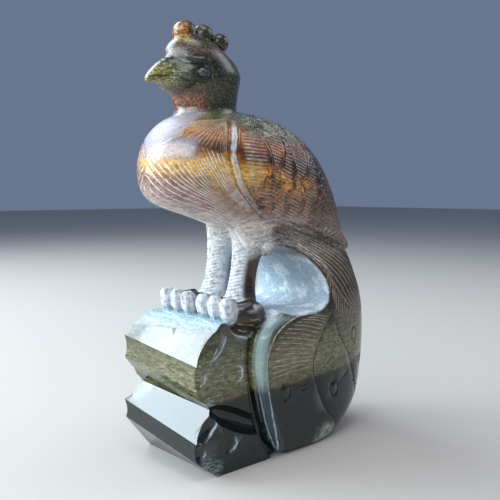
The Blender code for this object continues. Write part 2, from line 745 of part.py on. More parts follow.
def stand_flat(made):
    """Cut the underside flat at z = 0 and centre the footprint's box on the origin."""
    bm = bmesh.new()
    bm.from_mesh(made.data)
    cut_through = bmesh.ops.bisect_plane(bm, geom=bm.verts[:] + bm.edges[:] + bm.faces[:], dist=0.01 * MM,
                                         plane_co=(0, 0, 0), plane_no=(0, 0, 1), clear_inner=True)
    rim = [item for item in cut_through["geom_cut"] if isinstance(item, bmesh.types.BMEdge)]
    bmesh.ops.contextual_create(bm, geom=rim)
    bmesh.ops.triangulate(bm, faces=bm.faces)
    low = [min(vertex.co[i] for vertex in bm.verts) for i in range(2)]
    high = [max(vertex.co[i] for vertex in bm.verts) for i in range(2)]
    bmesh.ops.translate(bm, vec=(-(low[0] + high[0]) / 2, -(low[1] + high[1]) / 2, 0), verts=bm.verts)
    bmesh.ops.recalc_face_normals(bm, faces=bm.faces)
    bm.to_mesh(made.data)
    bm.free()


def jasper():
    """Polished jasper, in one colour here."""
    material = bpy.data.materials.new("jasper")
    material.use_nodes = True
    shader = material.node_tree.nodes["Principled BSDF"]
    shader.inputs["Base Color"].default_value = (0.16, 0.13, 0.07, 1.0)
    shader.inputs["Roughness"].default_value = 0.3
    return material


def main():
    for old in list(bpy.data.objects):
        bpy.data.objects.remove(old)
    made, exact = stone()
    remesh(made, VOXEL)
    soften(made, ROUNDS, crisp_rock(made, exact))
    carve(made, strokes(made))
    modifier = made.modifiers.new("reduce", "DECIMATE")
    modifier.ratio = TRIANGLES / sum(len(face.vertices) - 2 for face in made.data.polygons)
    evaluated(made)
    stand_flat(made)
    made.data.materials.append(jasper())
    collection = bpy.data.collections.new(made.name)
    bpy.context.scene.collection.children.link(collection)
    bpy.context.scene.collection.objects.unlink(made)
    collection.objects.link(made)


main()
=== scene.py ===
import math

import bmesh
import bpy
import numpy as np
from mathutils import Matrix, Vector, noise
from mathutils.bvhtree import BVHTree
from mathutils.kdtree import KDTree

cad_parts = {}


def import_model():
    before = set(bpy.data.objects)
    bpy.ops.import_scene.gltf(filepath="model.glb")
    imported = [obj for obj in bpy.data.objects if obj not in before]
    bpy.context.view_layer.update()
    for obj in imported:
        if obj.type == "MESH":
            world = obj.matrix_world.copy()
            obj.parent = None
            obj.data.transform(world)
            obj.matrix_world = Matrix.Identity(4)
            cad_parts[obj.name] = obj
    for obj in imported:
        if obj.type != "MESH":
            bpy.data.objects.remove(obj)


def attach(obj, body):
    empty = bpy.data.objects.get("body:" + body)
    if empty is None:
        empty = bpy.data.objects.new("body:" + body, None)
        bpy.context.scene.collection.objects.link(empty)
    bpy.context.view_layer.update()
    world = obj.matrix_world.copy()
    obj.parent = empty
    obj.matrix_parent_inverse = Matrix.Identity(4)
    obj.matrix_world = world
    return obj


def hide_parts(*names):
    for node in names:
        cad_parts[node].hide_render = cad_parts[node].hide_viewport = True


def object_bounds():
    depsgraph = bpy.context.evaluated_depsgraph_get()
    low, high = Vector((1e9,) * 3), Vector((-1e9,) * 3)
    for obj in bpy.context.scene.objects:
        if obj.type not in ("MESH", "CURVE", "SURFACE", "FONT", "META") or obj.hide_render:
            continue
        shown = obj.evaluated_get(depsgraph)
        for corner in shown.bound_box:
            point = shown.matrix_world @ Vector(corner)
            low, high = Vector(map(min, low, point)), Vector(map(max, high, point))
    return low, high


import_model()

CAD_LOW, CAD_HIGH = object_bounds()

MM = 0.001

# Rock
ROCK_TOP = 61.0 * MM
ROCK_WIDTH = 46.0 * MM
ROCK_OFFSET = -1.0 * MM
ROCK_REACH = 48.0 * MM
NOTCH_WIDTH = 5.2 * MM
NOTCH_DEPTH = 2.0 * MM
SCOOP_DEPTH = 4.6 * MM
FOOT_SCOOP_WIDTH = 19.0 * MM
FOOT_SCOOP_DROP = 6.5 * MM

# Bird
LEG_LENGTH = 31.0 * MM
LEG_DIAMETER = 11.4 * MM
LEG_SPACING = 18.0 * MM
LEG_Y = -9.0 * MM
BODY_FRONT = -50.0 * MM
BODY_LENGTH = 112.0 * MM
BODY_DEPTH = 54.0 * MM
BODY_WIDTH = 54.0 * MM
NECK_DIAMETER = 26.5 * MM
NECK_LENGTH = 12.5 * MM
NECK_Y = -23.5 * MM
HEAD_DIAMETER = 29.0 * MM
HEAD_LEAD = 2.0 * MM
BEAK_LENGTH = 9.2 * MM
KNOB_DIAMETERS = (9.4 * MM, 8.6 * MM, 8.2 * MM)
CREST_LEAD = 0.39
CREST_LEVELS = (1.12, 1.13, 0.985)
KNOB_FLATNESS = 0.55
COMB_DROP = 0.45
COMB_WIDTH = 0.55
COMB_POINTS = 9

# Claws
TOE_WIDTH = 6.6 * MM
TOE_HEIGHT = 10.2 * MM
TOE_LENGTH = 7.6 * MM
TOE_Y = -27.0 * MM
TOE_LEAN = 0.06
TOE_PITCH = 7.6 * MM

# Tail
TAIL_WIDTH = BODY_WIDTH - 2.0 * MM
TAIL_REAR = BODY_FRONT + BODY_LENGTH
LOBE_TOP = ROCK_TOP
RIM_WIDTH = 4.4 * MM
VALLEY_WIDTH = 4.0 * MM
VALLEY_DEPTH = 3.2 * MM

# Opening behind the legs
HOLLOW_BACK = 25.0 * MM
HOLLOW_FRONT = -4.5 * MM
HOLLOW_FLARE = 1.07

BELLY_Z = ROCK_TOP + LEG_LENGTH
BACK_Z = BELLY_Z + BODY_DEPTH
HEAD_Z = BACK_Z + NECK_LENGTH
SIDES = (-1, 1)


def smooth_through(points, count):
    """Points along a Catmull-Rom curve through the given ones, in any number of dimensions."""
    given = np.array(points, float)
    padded = np.vstack([2 * given[0] - given[1], given, 2 * given[-1] - given[-2]])
    result = []
    for place in np.linspace(0, len(given) - 1, count):
        first = min(int(place), len(given) - 2)
        t = place - first
        p0, p1, p2, p3 = padded[first:first + 4]
        result.append(0.5 * (2 * p1 + (p2 - p0) * t + (2 * p0 - 5 * p1 + 4 * p2 - p3) * t ** 2
                             + (3 * p1 - p0 - 3 * p2 + p3) * t ** 3))
    return np.array(result)


def mesh_object(name, bm):
    """A new object from a bmesh, with its faces turned outwards."""
    bmesh.ops.recalc_face_normals(bm, faces=bm.faces)
    if bm.calc_volume(signed=True) < 0:
        bmesh.ops.reverse_faces(bm, faces=bm.faces)
    mesh = bpy.data.meshes.new(name)
    bm.to_mesh(mesh)
    bm.free()
    made = bpy.data.objects.new(name, mesh)
    bpy.context.scene.collection.objects.link(made)
    return made


def ellipsoid(name, centre, radii, pitch=0.0, rings=24):
    """An ellipsoid, pitched about the X axis."""
    bm = bmesh.new()
    bmesh.ops.create_uvsphere(bm, u_segments=2 * rings, v_segments=rings, radius=1.0)
    place = Matrix.Translation(centre) @ Matrix.Rotation(pitch, 4, "X")
    bm.transform(place @ Matrix.Diagonal((*radii, 1.0)))
    return mesh_object(name, bm)


def loft(name, rings):
    """A closed skin through rings of equally many points, with a flat face at each end."""
    bm = bmesh.new()
    rows = [[bm.verts.new(point) for point in ring] for ring in rings]
    for row, above in zip(rows, rows[1:]):
        for i, vertex in enumerate(row):
            follow = (i + 1) % len(row)
            bm.faces.new((vertex, row[follow], above[follow], above[i]))
    bm.faces.new(rows[0])
    bm.faces.new(rows[-1])
    return mesh_object(name, bm)


def tube(name, points, diameters, sides=16):
    """A round bar along a path that stays roughly in one plane, with a diameter for each point."""
    path = [Vector(point) for point in points]
    rings = []
    across = None
    for i, place in enumerate(path):
        along = (path[min(i + 1, len(path) - 1)] - path[max(i - 1, 0)]).normalized()
        if across is None:
            across = along.orthogonal()
        across = (across - along * across.dot(along)).normalized()
        up = along.cross(across)
        radius = float(diameters[i]) / 2
        rings.append([place + radius * (math.cos(a) * across + math.sin(a) * up)
                      for a in turns(sides)])
    return loft(name, rings)


def turns(count):
    """Even angles once round."""
    return np.linspace(0, 2 * math.pi, count, endpoint=False)


def squarish(angle, power):
    """A point on a unit oval that is squarer the higher the power."""
    c, s = math.cos(angle), math.sin(angle)
    return math.copysign(abs(c) ** (2 / power), c), math.copysign(abs(s) ** (2 / power), s)


# The rock's outline at its far and its near end, seen from the side: how far forward, as a share of
# the reach, and how high, as a share of the top
ROCK_OUTLINES = (
    ((0.0, 1.0), (0.72, 0.99), (0.91, 0.90), (0.99, 0.84), (0.99, 0.68), (0.90, 0.59),
     (0.85, 0.50), (1.00, 0.38), (0.99, 0.25), (0.75, 0.0), (0.0, 0.0)),
    ((0.0, 1.0), (0.62, 1.0), (0.67, 0.96), (0.865, 0.75), (0.86, 0.59), (0.81, 0.52),
     (0.70, 0.44), (0.87, 0.255), (0.86, 0.125), (0.66, 0.0), (0.0, 0.0)),
)


def rock_corner(across, index):
    """A corner of the rock's outline, from its far end, 0, to its near end, 1."""
    far, near = ROCK_OUTLINES[0][index], ROCK_OUTLINES[1][index]
    forward = far[0] + across * (near[0] - far[0])
    high = far[1] + across * (near[1] - far[1])
    return Vector((ROCK_OFFSET + (across - 0.5) * ROCK_WIDTH, -forward * ROCK_REACH, high * ROCK_TOP))


def rock():
    """Two faceted bars across the front, one above the other, which lean towards the near end."""
    return loft("rock", [[rock_corner(across, i) for i in range(len(ROCK_OUTLINES[0]))]
                         for across in np.linspace(0, 1, 13)])


# The lens-shaped cuts on the corners of an end face: the outline's corner above each, and the cut's
# width and depth as shares of the notch's
NOTCHES = ((2, 1.0, 1.0), (3, 0.55, 0.7), (6, 1.0, 1.0), (7, 0.5, 0.7))


def rock_cutters():
    """Lens-shaped cuts on the corners of the bars, a scoop between the bars and one under each foot."""
    cutters = []
    for end in (0, 1):
        side = SIDES[end]
        for first, wide, deep in NOTCHES:
            start, stop = rock_corner(end, first), rock_corner(end, first + 1)
            along = stop - start
            inwards = Vector((0, -along.z, along.y)).normalized()
            out = NOTCH_DEPTH * deep
            middle = start.lerp(stop, 0.5) + Vector((0.9 * out * side, 0, 0))
            middle += 0.1 * wide * NOTCH_WIDTH * inwards
            radii = (1.9 * out, 0.53 * along.length, wide * NOTCH_WIDTH)
            cutters.append(ellipsoid("notch_cutter", middle, radii, math.atan2(along.z, along.y), 20))
        start, stop = rock_corner(end, 6), Vector((0, -0.22 * ROCK_REACH, 0.24 * ROCK_TOP))
        along = stop - start
        middle = start.lerp(stop, 0.5)
        middle.x = start.x + 0.2 * SCOOP_DEPTH * side
        radii = (1.2 * SCOOP_DEPTH, 0.62 * math.hypot(along.y, along.z), SCOOP_DEPTH)
        cutters.append(ellipsoid("scoop_cutter", middle, radii, math.atan2(along.z, along.y), 20))
        under_foot = Vector((start.x + 0.1 * FOOT_SCOOP_DROP * side, -0.36 * ROCK_REACH, ROCK_TOP))
        radii = (0.55 * FOOT_SCOOP_DROP, FOOT_SCOOP_WIDTH / 2, FOOT_SCOOP_DROP)
        cutters.append(ellipsoid("scoop_cutter", under_foot, radii, math.radians(-4), 20))
    return cutters


# Along the body: share of its length from the breast, the underside and the top as shares of its
# depth, the width as a share of its width, and the level of the widest line
BODY_RIBS = (
    (0.000, 0.47, 0.49, 0.02, 0.5),
    (0.012, 0.355, 0.64, 0.29, 0.5),
    (0.045, 0.285, 0.79, 0.55, 0.5),
    (0.110, 0.23, 0.91, 0.80, 0.5),
    (0.200, 0.175, 0.96, 0.95, 0.48),
    (0.320, 0.09, 0.98, 1.00, 0.46),
    (0.450, 0.01, 0.97, 1.00, 0.46),
    (0.570, -0.05, 0.91, 0.96, 0.44),
    (0.680, -0.09, 0.79, 0.86, 0.42),
    (0.780, -0.12, 0.59, 0.66, 0.40),
    (0.870, -0.14, 0.34, 0.42, 0.42),
    (0.940, -0.16, 0.09, 0.22, 0.45),
    (1.000, -0.17, -0.12, 0.07, 0.5),
)
BODY_SQUARENESS = 2.15


def body():
    """The egg-shaped body with the folded wings, lofted along its length."""
    rings = []
    for along, low, high, wide, level in smooth_through(BODY_RIBS, 56):
        y = BODY_FRONT + along * BODY_LENGTH
        bottom = BELLY_Z + low * BODY_DEPTH
        top = BELLY_Z + high * BODY_DEPTH
        middle = bottom + level * (top - bottom)
        rings.append(rib(y, bottom, middle, top, max(wide, 0.01) * BODY_WIDTH / 2))
    return loft("body", rings)


def rib(y, bottom, middle, top, half_width, points=64):
    """One upright section of the body."""
    ring = []
    for angle in turns(points):
        across, up = squarish(angle, BODY_SQUARENESS)
        reach = top - middle if up > 0 else middle - bottom
        ring.append((half_width * across, y, middle + reach * up))
    return ring


# Up the neck: share of its length above the back, its middle back from the neck's as a share of its
# radius, and its depth and width shares
NECK_SLICES = (
    (-1.00, 0.20, 1.12, 1.00),
    (-0.31, 0.16, 1.04, 0.90),
    (-0.06, 0.16, 0.99, 0.84),
    (0.17, 0.13, 1.03, 0.88),
    (0.48, 0.06, 1.12, 0.96),
)

# Up the head, from its middle, in shares of its radius: height, middle backwards, half depth, half width
HEAD_SLICES = (
    (-0.23, 0.15, 1.10, 0.95),
    (0.00, 0.17, 1.12, 0.97),
    (0.235, 0.13, 1.07, 0.93),
    (0.44, 0.05, 1.01, 0.86),
    (0.655, -0.06, 0.85, 0.75),
    (0.835, -0.14, 0.66, 0.61),
    (0.98, -0.20, 0.43, 0.42),
    (1.06, -0.24, 0.22, 0.22),
    (1.085, -0.24, 0.06, 0.06),
)

# Along the beak, from the face to its tip: share of its length, height above the head's middle, and
# half height and half width, all in shares of the head's radius
BEAK_SLICES = (
    (-0.60, 0.02, 0.42, 0.58),
    (-0.20, 0.02, 0.40, 0.50),
    (0.18, 0.01, 0.32, 0.40),
    (0.52, -0.08, 0.235, 0.29),
    (0.80, -0.18, 0.15, 0.19),
    (0.95, -0.25, 0.085, 0.11),
    (1.00, -0.27, 0.03, 0.04),
)


def neck_and_head():
    """The neck and the skull as one loft, the cheeks and the beak."""
    head = Vector((0, NECK_Y - HEAD_LEAD, HEAD_Z))
    r = HEAD_DIAMETER / 2
    thick = NECK_DIAMETER / 2
    slices = [(BACK_Z + up * NECK_LENGTH, NECK_Y + back * thick, deep * thick, wide * thick)
              for up, back, deep, wide in NECK_SLICES]
    slices += [(head.z + up * r, head.y + back * r, deep * r, wide * r)
               for up, back, deep, wide in HEAD_SLICES]
    rings = [oval((0, y, z), (wide, 0, 0), (0, deep, 0)) for z, y, deep, wide in smooth_through(slices, 40)]
    pieces = [
        loft("skull", rings),
        ellipsoid("face", head + Vector((0, -0.50 * r, -0.12 * r)), (0.82 * r, 0.66 * r, 0.46 * r),
                  math.radians(8)),
    ]
    rings = []
    for share, up, high, wide in smooth_through(BEAK_SLICES, 24):
        centre = head + Vector((0, -r - share * BEAK_LENGTH, up * r))
        rings.append(oval(centre, (wide * r, 0, 0), (0, 0, high * r)))
    pieces.append(loft("beak", rings))
    return pieces


def oval(centre, across, up, points=48):
    """An oval ring round its middle, from its two half axes."""
    centre, across, up = Vector(centre), Vector(across), Vector(up)
    return [centre + math.cos(a) * across + math.sin(a) * up for a in turns(points)]


def crest_centres():
    """The middle of each knob: they touch in a row along the middle of the skull."""
    r = HEAD_DIAMETER / 2
    y = NECK_Y - HEAD_LEAD - CREST_LEAD * r
    centres = []
    for i, diameter in enumerate(KNOB_DIAMETERS):
        if i:
            y += 0.95 * (KNOB_DIAMETERS[i - 1] + diameter) / 2
        centres.append(Vector((0, y, HEAD_Z + CREST_LEVELS[i] * r)))
    return centres


def crest():
    """Three round knobs in a row on a low comb."""
    pieces, comb = [], []
    for centre, diameter in zip(crest_centres(), KNOB_DIAMETERS):
        pieces.append(ellipsoid("knob", centre, (KNOB_FLATNESS * diameter, diameter / 2, diameter / 2)))
        comb.append(centre - Vector((0, 0, COMB_DROP * diameter)))
    widths = [COMB_WIDTH * KNOB_DIAMETERS[-1]] * COMB_POINTS
    pieces.append(tube("comb", smooth_through(comb, COMB_POINTS), widths))
    return pieces


# Down a leg: out from the middle and forwards in shares of the spacing and the leg length, height in
# shares of the leg length above the rock, and the diameter share
LEG_STATIONS = (
    (0.42, 0.20, 1.26, 2.3),
    (0.50, 0.10, 0.94, 1.30),
    (0.50, 0.03, 0.62, 1.0),
    (0.50, -0.02, 0.34, 1.05),
    (0.525, -0.065, 0.10, 1.35),
    (0.55, -0.13, -0.13, 1.9),
)


def leg(side):
    """One leg, flaring into the belly above and into the foot below."""
    stations = smooth_through(LEG_STATIONS, 24)
    path = [(side * out * LEG_SPACING, LEG_Y + back * LEG_LENGTH, ROCK_TOP + high * LEG_LENGTH)
            for out, back, high, _ in stations]
    return tube("leg", path, stations[:, 3] * LEG_DIAMETER, 28)


# A claw from its tip up: share of its height, its width and its length forwards as shares
CLAW = ((0.0, 0.50, 0.50), (0.10, 0.72, 0.70), (0.32, 0.94, 0.92), (0.60, 1.0, 1.0), (0.82, 0.92, 0.92),
        (1.0, 0.45, 0.5))
CLAW_SQUARENESS = 2.2
CLAW_FACETS = 7


def foot(side):
    """The mound of a foot with three blunt claws in a row, their tips down on the rock."""
    x = side * (LEG_SPACING + TOE_PITCH) / 2
    mound = Vector((x, LEG_Y - 0.55 * LEG_DIAMETER, ROCK_TOP + 0.1 * TOE_HEIGHT))
    heel = mound + Vector((side * 0.22 * LEG_DIAMETER, 0.3 * LEG_DIAMETER, -0.04 * TOE_HEIGHT))
    pieces = [
        ellipsoid("foot", mound, (1.0 * LEG_DIAMETER, 0.8 * LEG_DIAMETER, 0.55 * TOE_HEIGHT)),
        ellipsoid("heel", heel, (0.66 * LEG_DIAMETER, 0.70 * LEG_DIAMETER, 0.60 * TOE_HEIGHT)),
    ]
    for i in (-1, 0, 1):
        middle = x + i * TOE_PITCH
        front = TOE_Y + TOE_LEAN * middle
        rings = []
        for level, wide, deep in CLAW:
            z = ROCK_TOP + (level - 0.1) * TOE_HEIGHT
            y = front + 0.18 * TOE_LENGTH * (1 - level)
            half_wide, half_deep = wide * TOE_WIDTH / 2, deep * TOE_LENGTH / 2
            flat = [squarish(a, CLAW_SQUARENESS) for a in turns(CLAW_FACETS)]
            rings.append([(middle + half_wide * c, y + half_deep * d, z) for c, d in flat])
        pieces.append(loft("claw", rings))
        toe = [(middle, front + 0.35 * TOE_LENGTH, ROCK_TOP + 0.45 * TOE_HEIGHT),
               (0.85 * middle + 0.15 * x, LEG_Y - 0.45 * LEG_DIAMETER, ROCK_TOP + 0.42 * TOE_HEIGHT)]
        pieces.append(tube("toe", toe, [0.6 * TOE_WIDTH, TOE_WIDTH]))
    return pieces


# Up the tail: height in shares of the height of its foot, front and rear edges as shares of the
# distance from the origin to the rear, and the width share
TAIL_SLICES = (
    (0.00, 0.03, 0.69, 0.84),
    (0.035, -0.02, 0.72, 0.91),
    (0.085, -0.07, 0.78, 0.95),
    (0.15, -0.12, 0.855, 0.975),
    (0.23, -0.145, 0.925, 0.99),
    (0.35, -0.185, 0.975, 1.00),
    (0.58, -0.235, 1.02, 1.00),
    (0.75, -0.245, 1.03, 1.00),
    (0.90, -0.20, 1.02, 1.00),
    (1.00, -0.10, 1.00, 0.98),
    (1.10, 0.06, 0.965, 0.95),
    (1.25, 0.02, 0.91, 0.90),
    (1.40, -0.055, 0.85, 0.80),
    (1.56, -0.08, 0.70, 0.64),
)
FRONT_BOXINESS = 9.0
REAR_BOXINESS = 2.9
TAIL_WIDEST = 0.38


def tail():
    """The train, which sweeps down from the body behind the rock, lofted upwards."""
    return loft("tail", [
        slice_ring(level * LOBE_TOP, front * TAIL_REAR, rear * TAIL_REAR, wide * TAIL_WIDTH / 2)
        for level, front, rear, wide in smooth_through(TAIL_SLICES, 44)
    ])


def slice_ring(z, front, rear, half_width, points=72):
    """One level section of the tail, boxy in front and round behind."""
    widest = front + TAIL_WIDEST * (rear - front)
    ring = []
    for angle in turns(points):
        behind = math.sin(angle) > 0
        across, along = squarish(angle, REAR_BOXINESS if behind else FRONT_BOXINESS)
        reach = rear - widest if behind else widest - front
        ring.append((half_width * across, widest + reach * along, z))
    return ring


# The opening behind the legs, as seen from the side, in shares of its length from the leg and of
# the leg length above the rock top
HOLLOW_OUTLINE = (
    (0.00, 0.26), (0.0, 0.58), (0.08, 0.81), (0.28, 0.90), (0.60, 0.78), (0.88, 0.54), (1.02, 0.31),
    (1.00, 0.13), (0.85, 0.03), (0.58, 0.0), (0.28, 0.02), (0.07, 0.10),
)
HOLLOW_MIDDLE = 0.46


def hollow():
    """The cutter for the opening behind the legs: it runs right through and flares to both sides."""
    half = 0.57 * BODY_WIDTH
    length = HOLLOW_BACK - HOLLOW_FRONT
    loop = smooth_through(HOLLOW_OUTLINE + HOLLOW_OUTLINE[:1], 45)[:-1]
    rings = []
    for x in np.linspace(-half, half, 21):
        flare = 1 + (HOLLOW_FLARE - 1) * (abs(x) / half) ** 3
        ring = []
        for back, up in loop:
            high = HOLLOW_MIDDLE + (up - HOLLOW_MIDDLE) * flare
            ring.append((x, HOLLOW_FRONT + back * length * flare, ROCK_TOP + high * LEG_LENGTH))
        rings.append(ring)
    return loft("hollow_cutter", rings)


# The front and top edge of the tail's side, seen from the side, as shares of the tail's reach and
# of the height of its foot, and the width of its rim as a share of the rim's width
RIM = (
    (0.10, 0.005, 0.15), (0.02, 0.02, 0.5), (-0.05, 0.09, 0.9), (-0.11, 0.19, 1.0), (-0.16, 0.33, 1.0),
    (-0.205, 0.52, 1.0), (-0.232, 0.70, 1.1), (-0.205, 0.86, 1.1), (-0.14, 0.945, 0.95),
    (-0.06, 0.985, 0.8), (0.07, 1.0, 0.55), (0.26, 1.0, 0.4),
)
RIM_POINTS = 48
# How many of the rim's points, from its foot, the valley follows
VALLEY_POINTS = 36


def tail_half_width(level):
    """Half the tail's width at a height, given as a share of the height of its foot."""
    levels, wides = np.array(TAIL_SLICES)[:, (0, 3)].T
    return np.interp(level, levels, wides) * TAIL_WIDTH / 2


def rim_points(side, out, shift):
    """Points along the rim of the tail's side, moved out of the tail by a share of its width."""
    flat = smooth_through(RIM, RIM_POINTS)
    line = flat[:, :2] * (TAIL_REAR, LOBE_TOP)
    step = np.gradient(line, axis=0)
    normal = np.stack([-step[:, 1], step[:, 0]], 1) / np.linalg.norm(step, axis=1)[:, None]
    moved = line + shift * RIM_WIDTH * flat[:, 2:] * normal
    return [Vector((side * x, y, z)) for x, (y, z) in zip(out(flat[:, 1]), moved)], flat[:, 2] * RIM_WIDTH


def rim_path(side, sunk=0.3, shift=-0.5):
    """The rim's points on the tail's side, sunk into it by a share of the rim's width."""
    return rim_points(side, lambda level: tail_half_width(level) - sunk * RIM_WIDTH, shift)


def rim(side):
    """A raised round edge on the tail's side."""
    path, widths = rim_path(side)
    return tube("rim", path, widths, 20)


def valley(side):
    """A round cutter that parts the rock from the rim of the tail."""
    out = ROCK_OFFSET * side + ROCK_WIDTH / 2 + VALLEY_WIDTH / 2 - VALLEY_DEPTH
    path, _ = rim_points(side, lambda level: np.full(len(level), out), 0.0)
    places = []
    for i in range(VALLEY_POINTS):
        along = path[i + 1] - path[i]
        places.append(path[i] + Vector((0, -along.z, along.y)).normalized() * (0.52 * VALLEY_WIDTH))
    return tube("valley_cutter", places, [VALLEY_WIDTH] * VALLEY_POINTS, 18)


# The tip of a folded wing, from the wing to its end: along the body from its front, up from the belly
# and out from the middle, as shares of the body's length, depth and half width, and its half width
WING_TIP = ((0.58, 0.20, 0.60, 0.6), (0.68, 0.12, 0.62, 0.95), (0.77, 0.05, 0.60, 1.0),
            (0.83, -0.02, 0.56, 0.85), (0.865, -0.075, 0.53, 0.55))
TIP_WIDTH = 13.0 * MM
TIP_THICKNESS = 4.6 * MM
TIP_SQUARENESS = 3.2


def wing_tip(side):
    """The flat blunt end of a folded wing, which stands out over the tail."""
    rings = []
    for along, up, out, wide in smooth_through(WING_TIP, 14):
        centre = Vector((side * out * BODY_WIDTH / 2, BODY_FRONT + along * BODY_LENGTH,
                         BELLY_Z + up * BODY_DEPTH))
        thin = Vector((side * 0.72, 0.45, 0.52)).normalized() * TIP_THICKNESS / 2
        flat = Vector((-side * 0.62, 0.10, 0.78))
        flat = (flat - thin.normalized() * flat.dot(thin.normalized())).normalized() * wide * TIP_WIDTH / 2
        corners = [squarish(a, TIP_SQUARENESS) for a in turns(32)]
        rings.append([centre + c * flat + d * thin for c, d in corners])
    return loft("wing_tip", rings)


def evaluated(made):
    """Apply the object's modifiers to its mesh."""
    depsgraph = bpy.context.evaluated_depsgraph_get()
    mesh = bpy.data.meshes.new_from_object(made.evaluated_get(depsgraph))
    made.modifiers.clear()
    made.data = mesh


def without(made, cutters):
    """Take the cutters out of a solid."""
    for cutter in cutters:
        modifier = made.modifiers.new("cut", "BOOLEAN")
        modifier.operation = "DIFFERENCE"
        modifier.object = cutter
        evaluated(made)
    return made


def joined(name, pieces):
    """All the pieces in one mesh, not yet one solid."""
    bm = bmesh.new()
    for piece in pieces:
        bm.from_mesh(piece.data)
        bpy.data.objects.remove(piece)
    return mesh_object(name, bm)


def remesh(made, voxel):
    """Join everything that overlaps into one skin of even squares."""
    modifier = made.modifiers.new("skin", "REMESH")
    modifier.mode = "VOXEL"
    modifier.voxel_size = voxel
    evaluated(made)


# Fine skin
VOXEL = 0.26 * MM
SMOOTHING = 34
TRIANGLES = 194000
BODY_MIDDLE = Vector((0, BODY_FRONT + 0.375 * BODY_LENGTH, BELLY_Z + 0.48 * BODY_DEPTH))
WING_FALL = 0.35
FIT = 0.9998
SHARP_ANGLE = math.radians(17)
TRAIN_MIDDLE_Y = 0.4 * TAIL_REAR
# How far out rays start that are thrown inwards
OUTSIDE = 0.1

# Carved lines: width, depth, negative where raised, and look, from 1, frosted white, to -1, dark
FAN = (0.6 * MM, 0.2 * MM, 0.62)
SHOULDER_BARB = (0.95 * MM, 0.28 * MM, 0.85)
BARB = (0.8 * MM, 0.36 * MM, 0.88)
FINE_BARB = (0.6 * MM, 0.24 * MM, 0.6)
COVERT = (0.8 * MM, 0.3 * MM, 0.85)
LOBE_BARB = (0.65 * MM, 0.22 * MM, 0.8)
WAVE = (1.0 * MM, 0.28 * MM, 0.9)
SCALE_EDGE = (0.85 * MM, 0.38 * MM, 0.7)
DARK_CUT = (0.85 * MM, 0.5 * MM, -1.0)
DARK_RING = (0.8 * MM, 0.42 * MM, -1.0)
SCUTE = (0.8 * MM, 0.26 * MM, -0.45)
SCUTE_PITCH = 1.45 * MM
WING_BAND = (3.2 * MM, -0.42 * MM, 0.0)
BORDER = (0.8 * MM, 0.38 * MM, -0.35)
CRESCENT = (1.25 * MM, -0.14 * MM, 1.0)
EYE_LINE = (0.6 * MM, 0.22 * MM, -0.6)
EYE_BALL_FOLD = (3.7 * MM, -0.6 * MM, 0.0)
NOSTRIL_CUT = (1.1 * MM, 0.4 * MM, -1.0)
RIM_LINE = (1.0 * MM, -0.3 * MM, 1.0)
# A painted glint: a light, barely raised line along the outer side of the train's rim.
RIM_GLINT = (1.1 * MM, -0.05 * MM, 0.8)
RIM_CUT = (0.9 * MM, 0.35 * MM, 0.0)
RIM_TROUGH = (2.2 * MM, 0.4 * MM, 0.0)
CUP_DEPTH = 0.75 * MM
CUP_LOOK = -0.2
# Points of a line that are further apart than this aren't joined
LINE_GAP = 5 * MM

# How uneven the hand-cut lines are: their strength, and how far they wander from a true curve
UNEVEN = 0.45
UNEVEN_LENGTH = 2.2 * MM
WANDER = 0.16 * MM
WANDER_LENGTH = 2.6 * MM


class Lines:
    """A set of carved lines: samples along them with their width, depth and look."""

    def __init__(self):
        self.samples = []

    def add(self, points, style, taper=0.0):
        """Add one line; it fades over the given share of its length at its ends."""
        points = [Vector(point) for point in points]
        widths, depths, looks = (np.broadcast_to(value, len(points)) for value in style)
        reach = max(1, len(points) - 1)
        for i, (start, stop) in enumerate(zip(points, points[1:])):
            length = (stop - start).length
            if length > LINE_GAP:
                continue
            width, depth, look = float(widths[i]), float(depths[i]), float(looks[i])
            steps = max(1, int(length / (0.2 * width)))
            for j in range(steps):
                place = (i + j / steps) / reach
                fade = min(1.0, place / taper, (1 - place) / taper) if taper else 1.0
                at = start.lerp(stop, j / steps)
                uneven = 1 + UNEVEN * noise.noise(at / UNEVEN_LENGTH)
                fade = max(fade, 0.0) * uneven
                at += WANDER * noise.noise_vector(at / WANDER_LENGTH)
                self.samples.append((at, width * uneven, depth * fade, look * min(fade, 1.0)))

    def press(self, co, flat=1.0):
        """How deep each vertex goes and its look; a higher flat gives the lines flatter middles."""
        tree = KDTree(len(self.samples))
        for i, sample in enumerate(self.samples):
            tree.insert(sample[0], i)
        tree.balance()
        widths, depths, looks = np.array([sample[1:] for sample in self.samples]).T
        found = [tree.find(place) for place in co]
        index = np.array([i for _, i, _ in found])
        distance = np.array([d for _, _, d in found])
        share = np.clip(distance / (0.5 * widths[index]), 0, 1)
        profile = np.clip(flat * 0.5 * (1 + np.cos(math.pi * share)), 0, 1)
        return depths[index] * profile, looks[index] * np.clip(1.5 * profile, 0, 1)


def landed(skin, rays):
    """Where rays, each given by its start and its direction, first meet the skin."""
    hits = [skin.ray_cast(start, way)[0] for start, way in rays]
    return [hit for hit in hits if hit is not None]


def drape_side(skin, side, points):
    """Throw points of the side view, along and up in mm, onto the skin from one side."""
    way = Vector((-side, 0, 0))
    return landed(skin, [(Vector((side * OUTSIDE, y * MM, z * MM)), way) for y, z in points])


def drape_round(skin, side, points):
    """Throw points given by bearing from the front and elevation, in degrees, onto the skin."""
    rays = []
    for bearing, rise in np.radians(points):
        level = math.cos(rise)
        way = (side * math.sin(bearing) * level, -math.cos(bearing) * level, math.sin(rise))
        rays.append((BODY_MIDDLE, Vector(way)))
    return landed(skin, rays)


def drape_wing(skin, side, points):
    """Throw points given along the body, in mm, and round its middle line from the top, in degrees."""
    rays = []
    for y, angle in points:
        turn = math.radians(angle)
        start = Vector((0, y * MM, wing_axis(y * MM)))
        rays.append((start, Vector((side * math.sin(turn), 0, math.cos(turn)))))
    return landed(skin, rays)


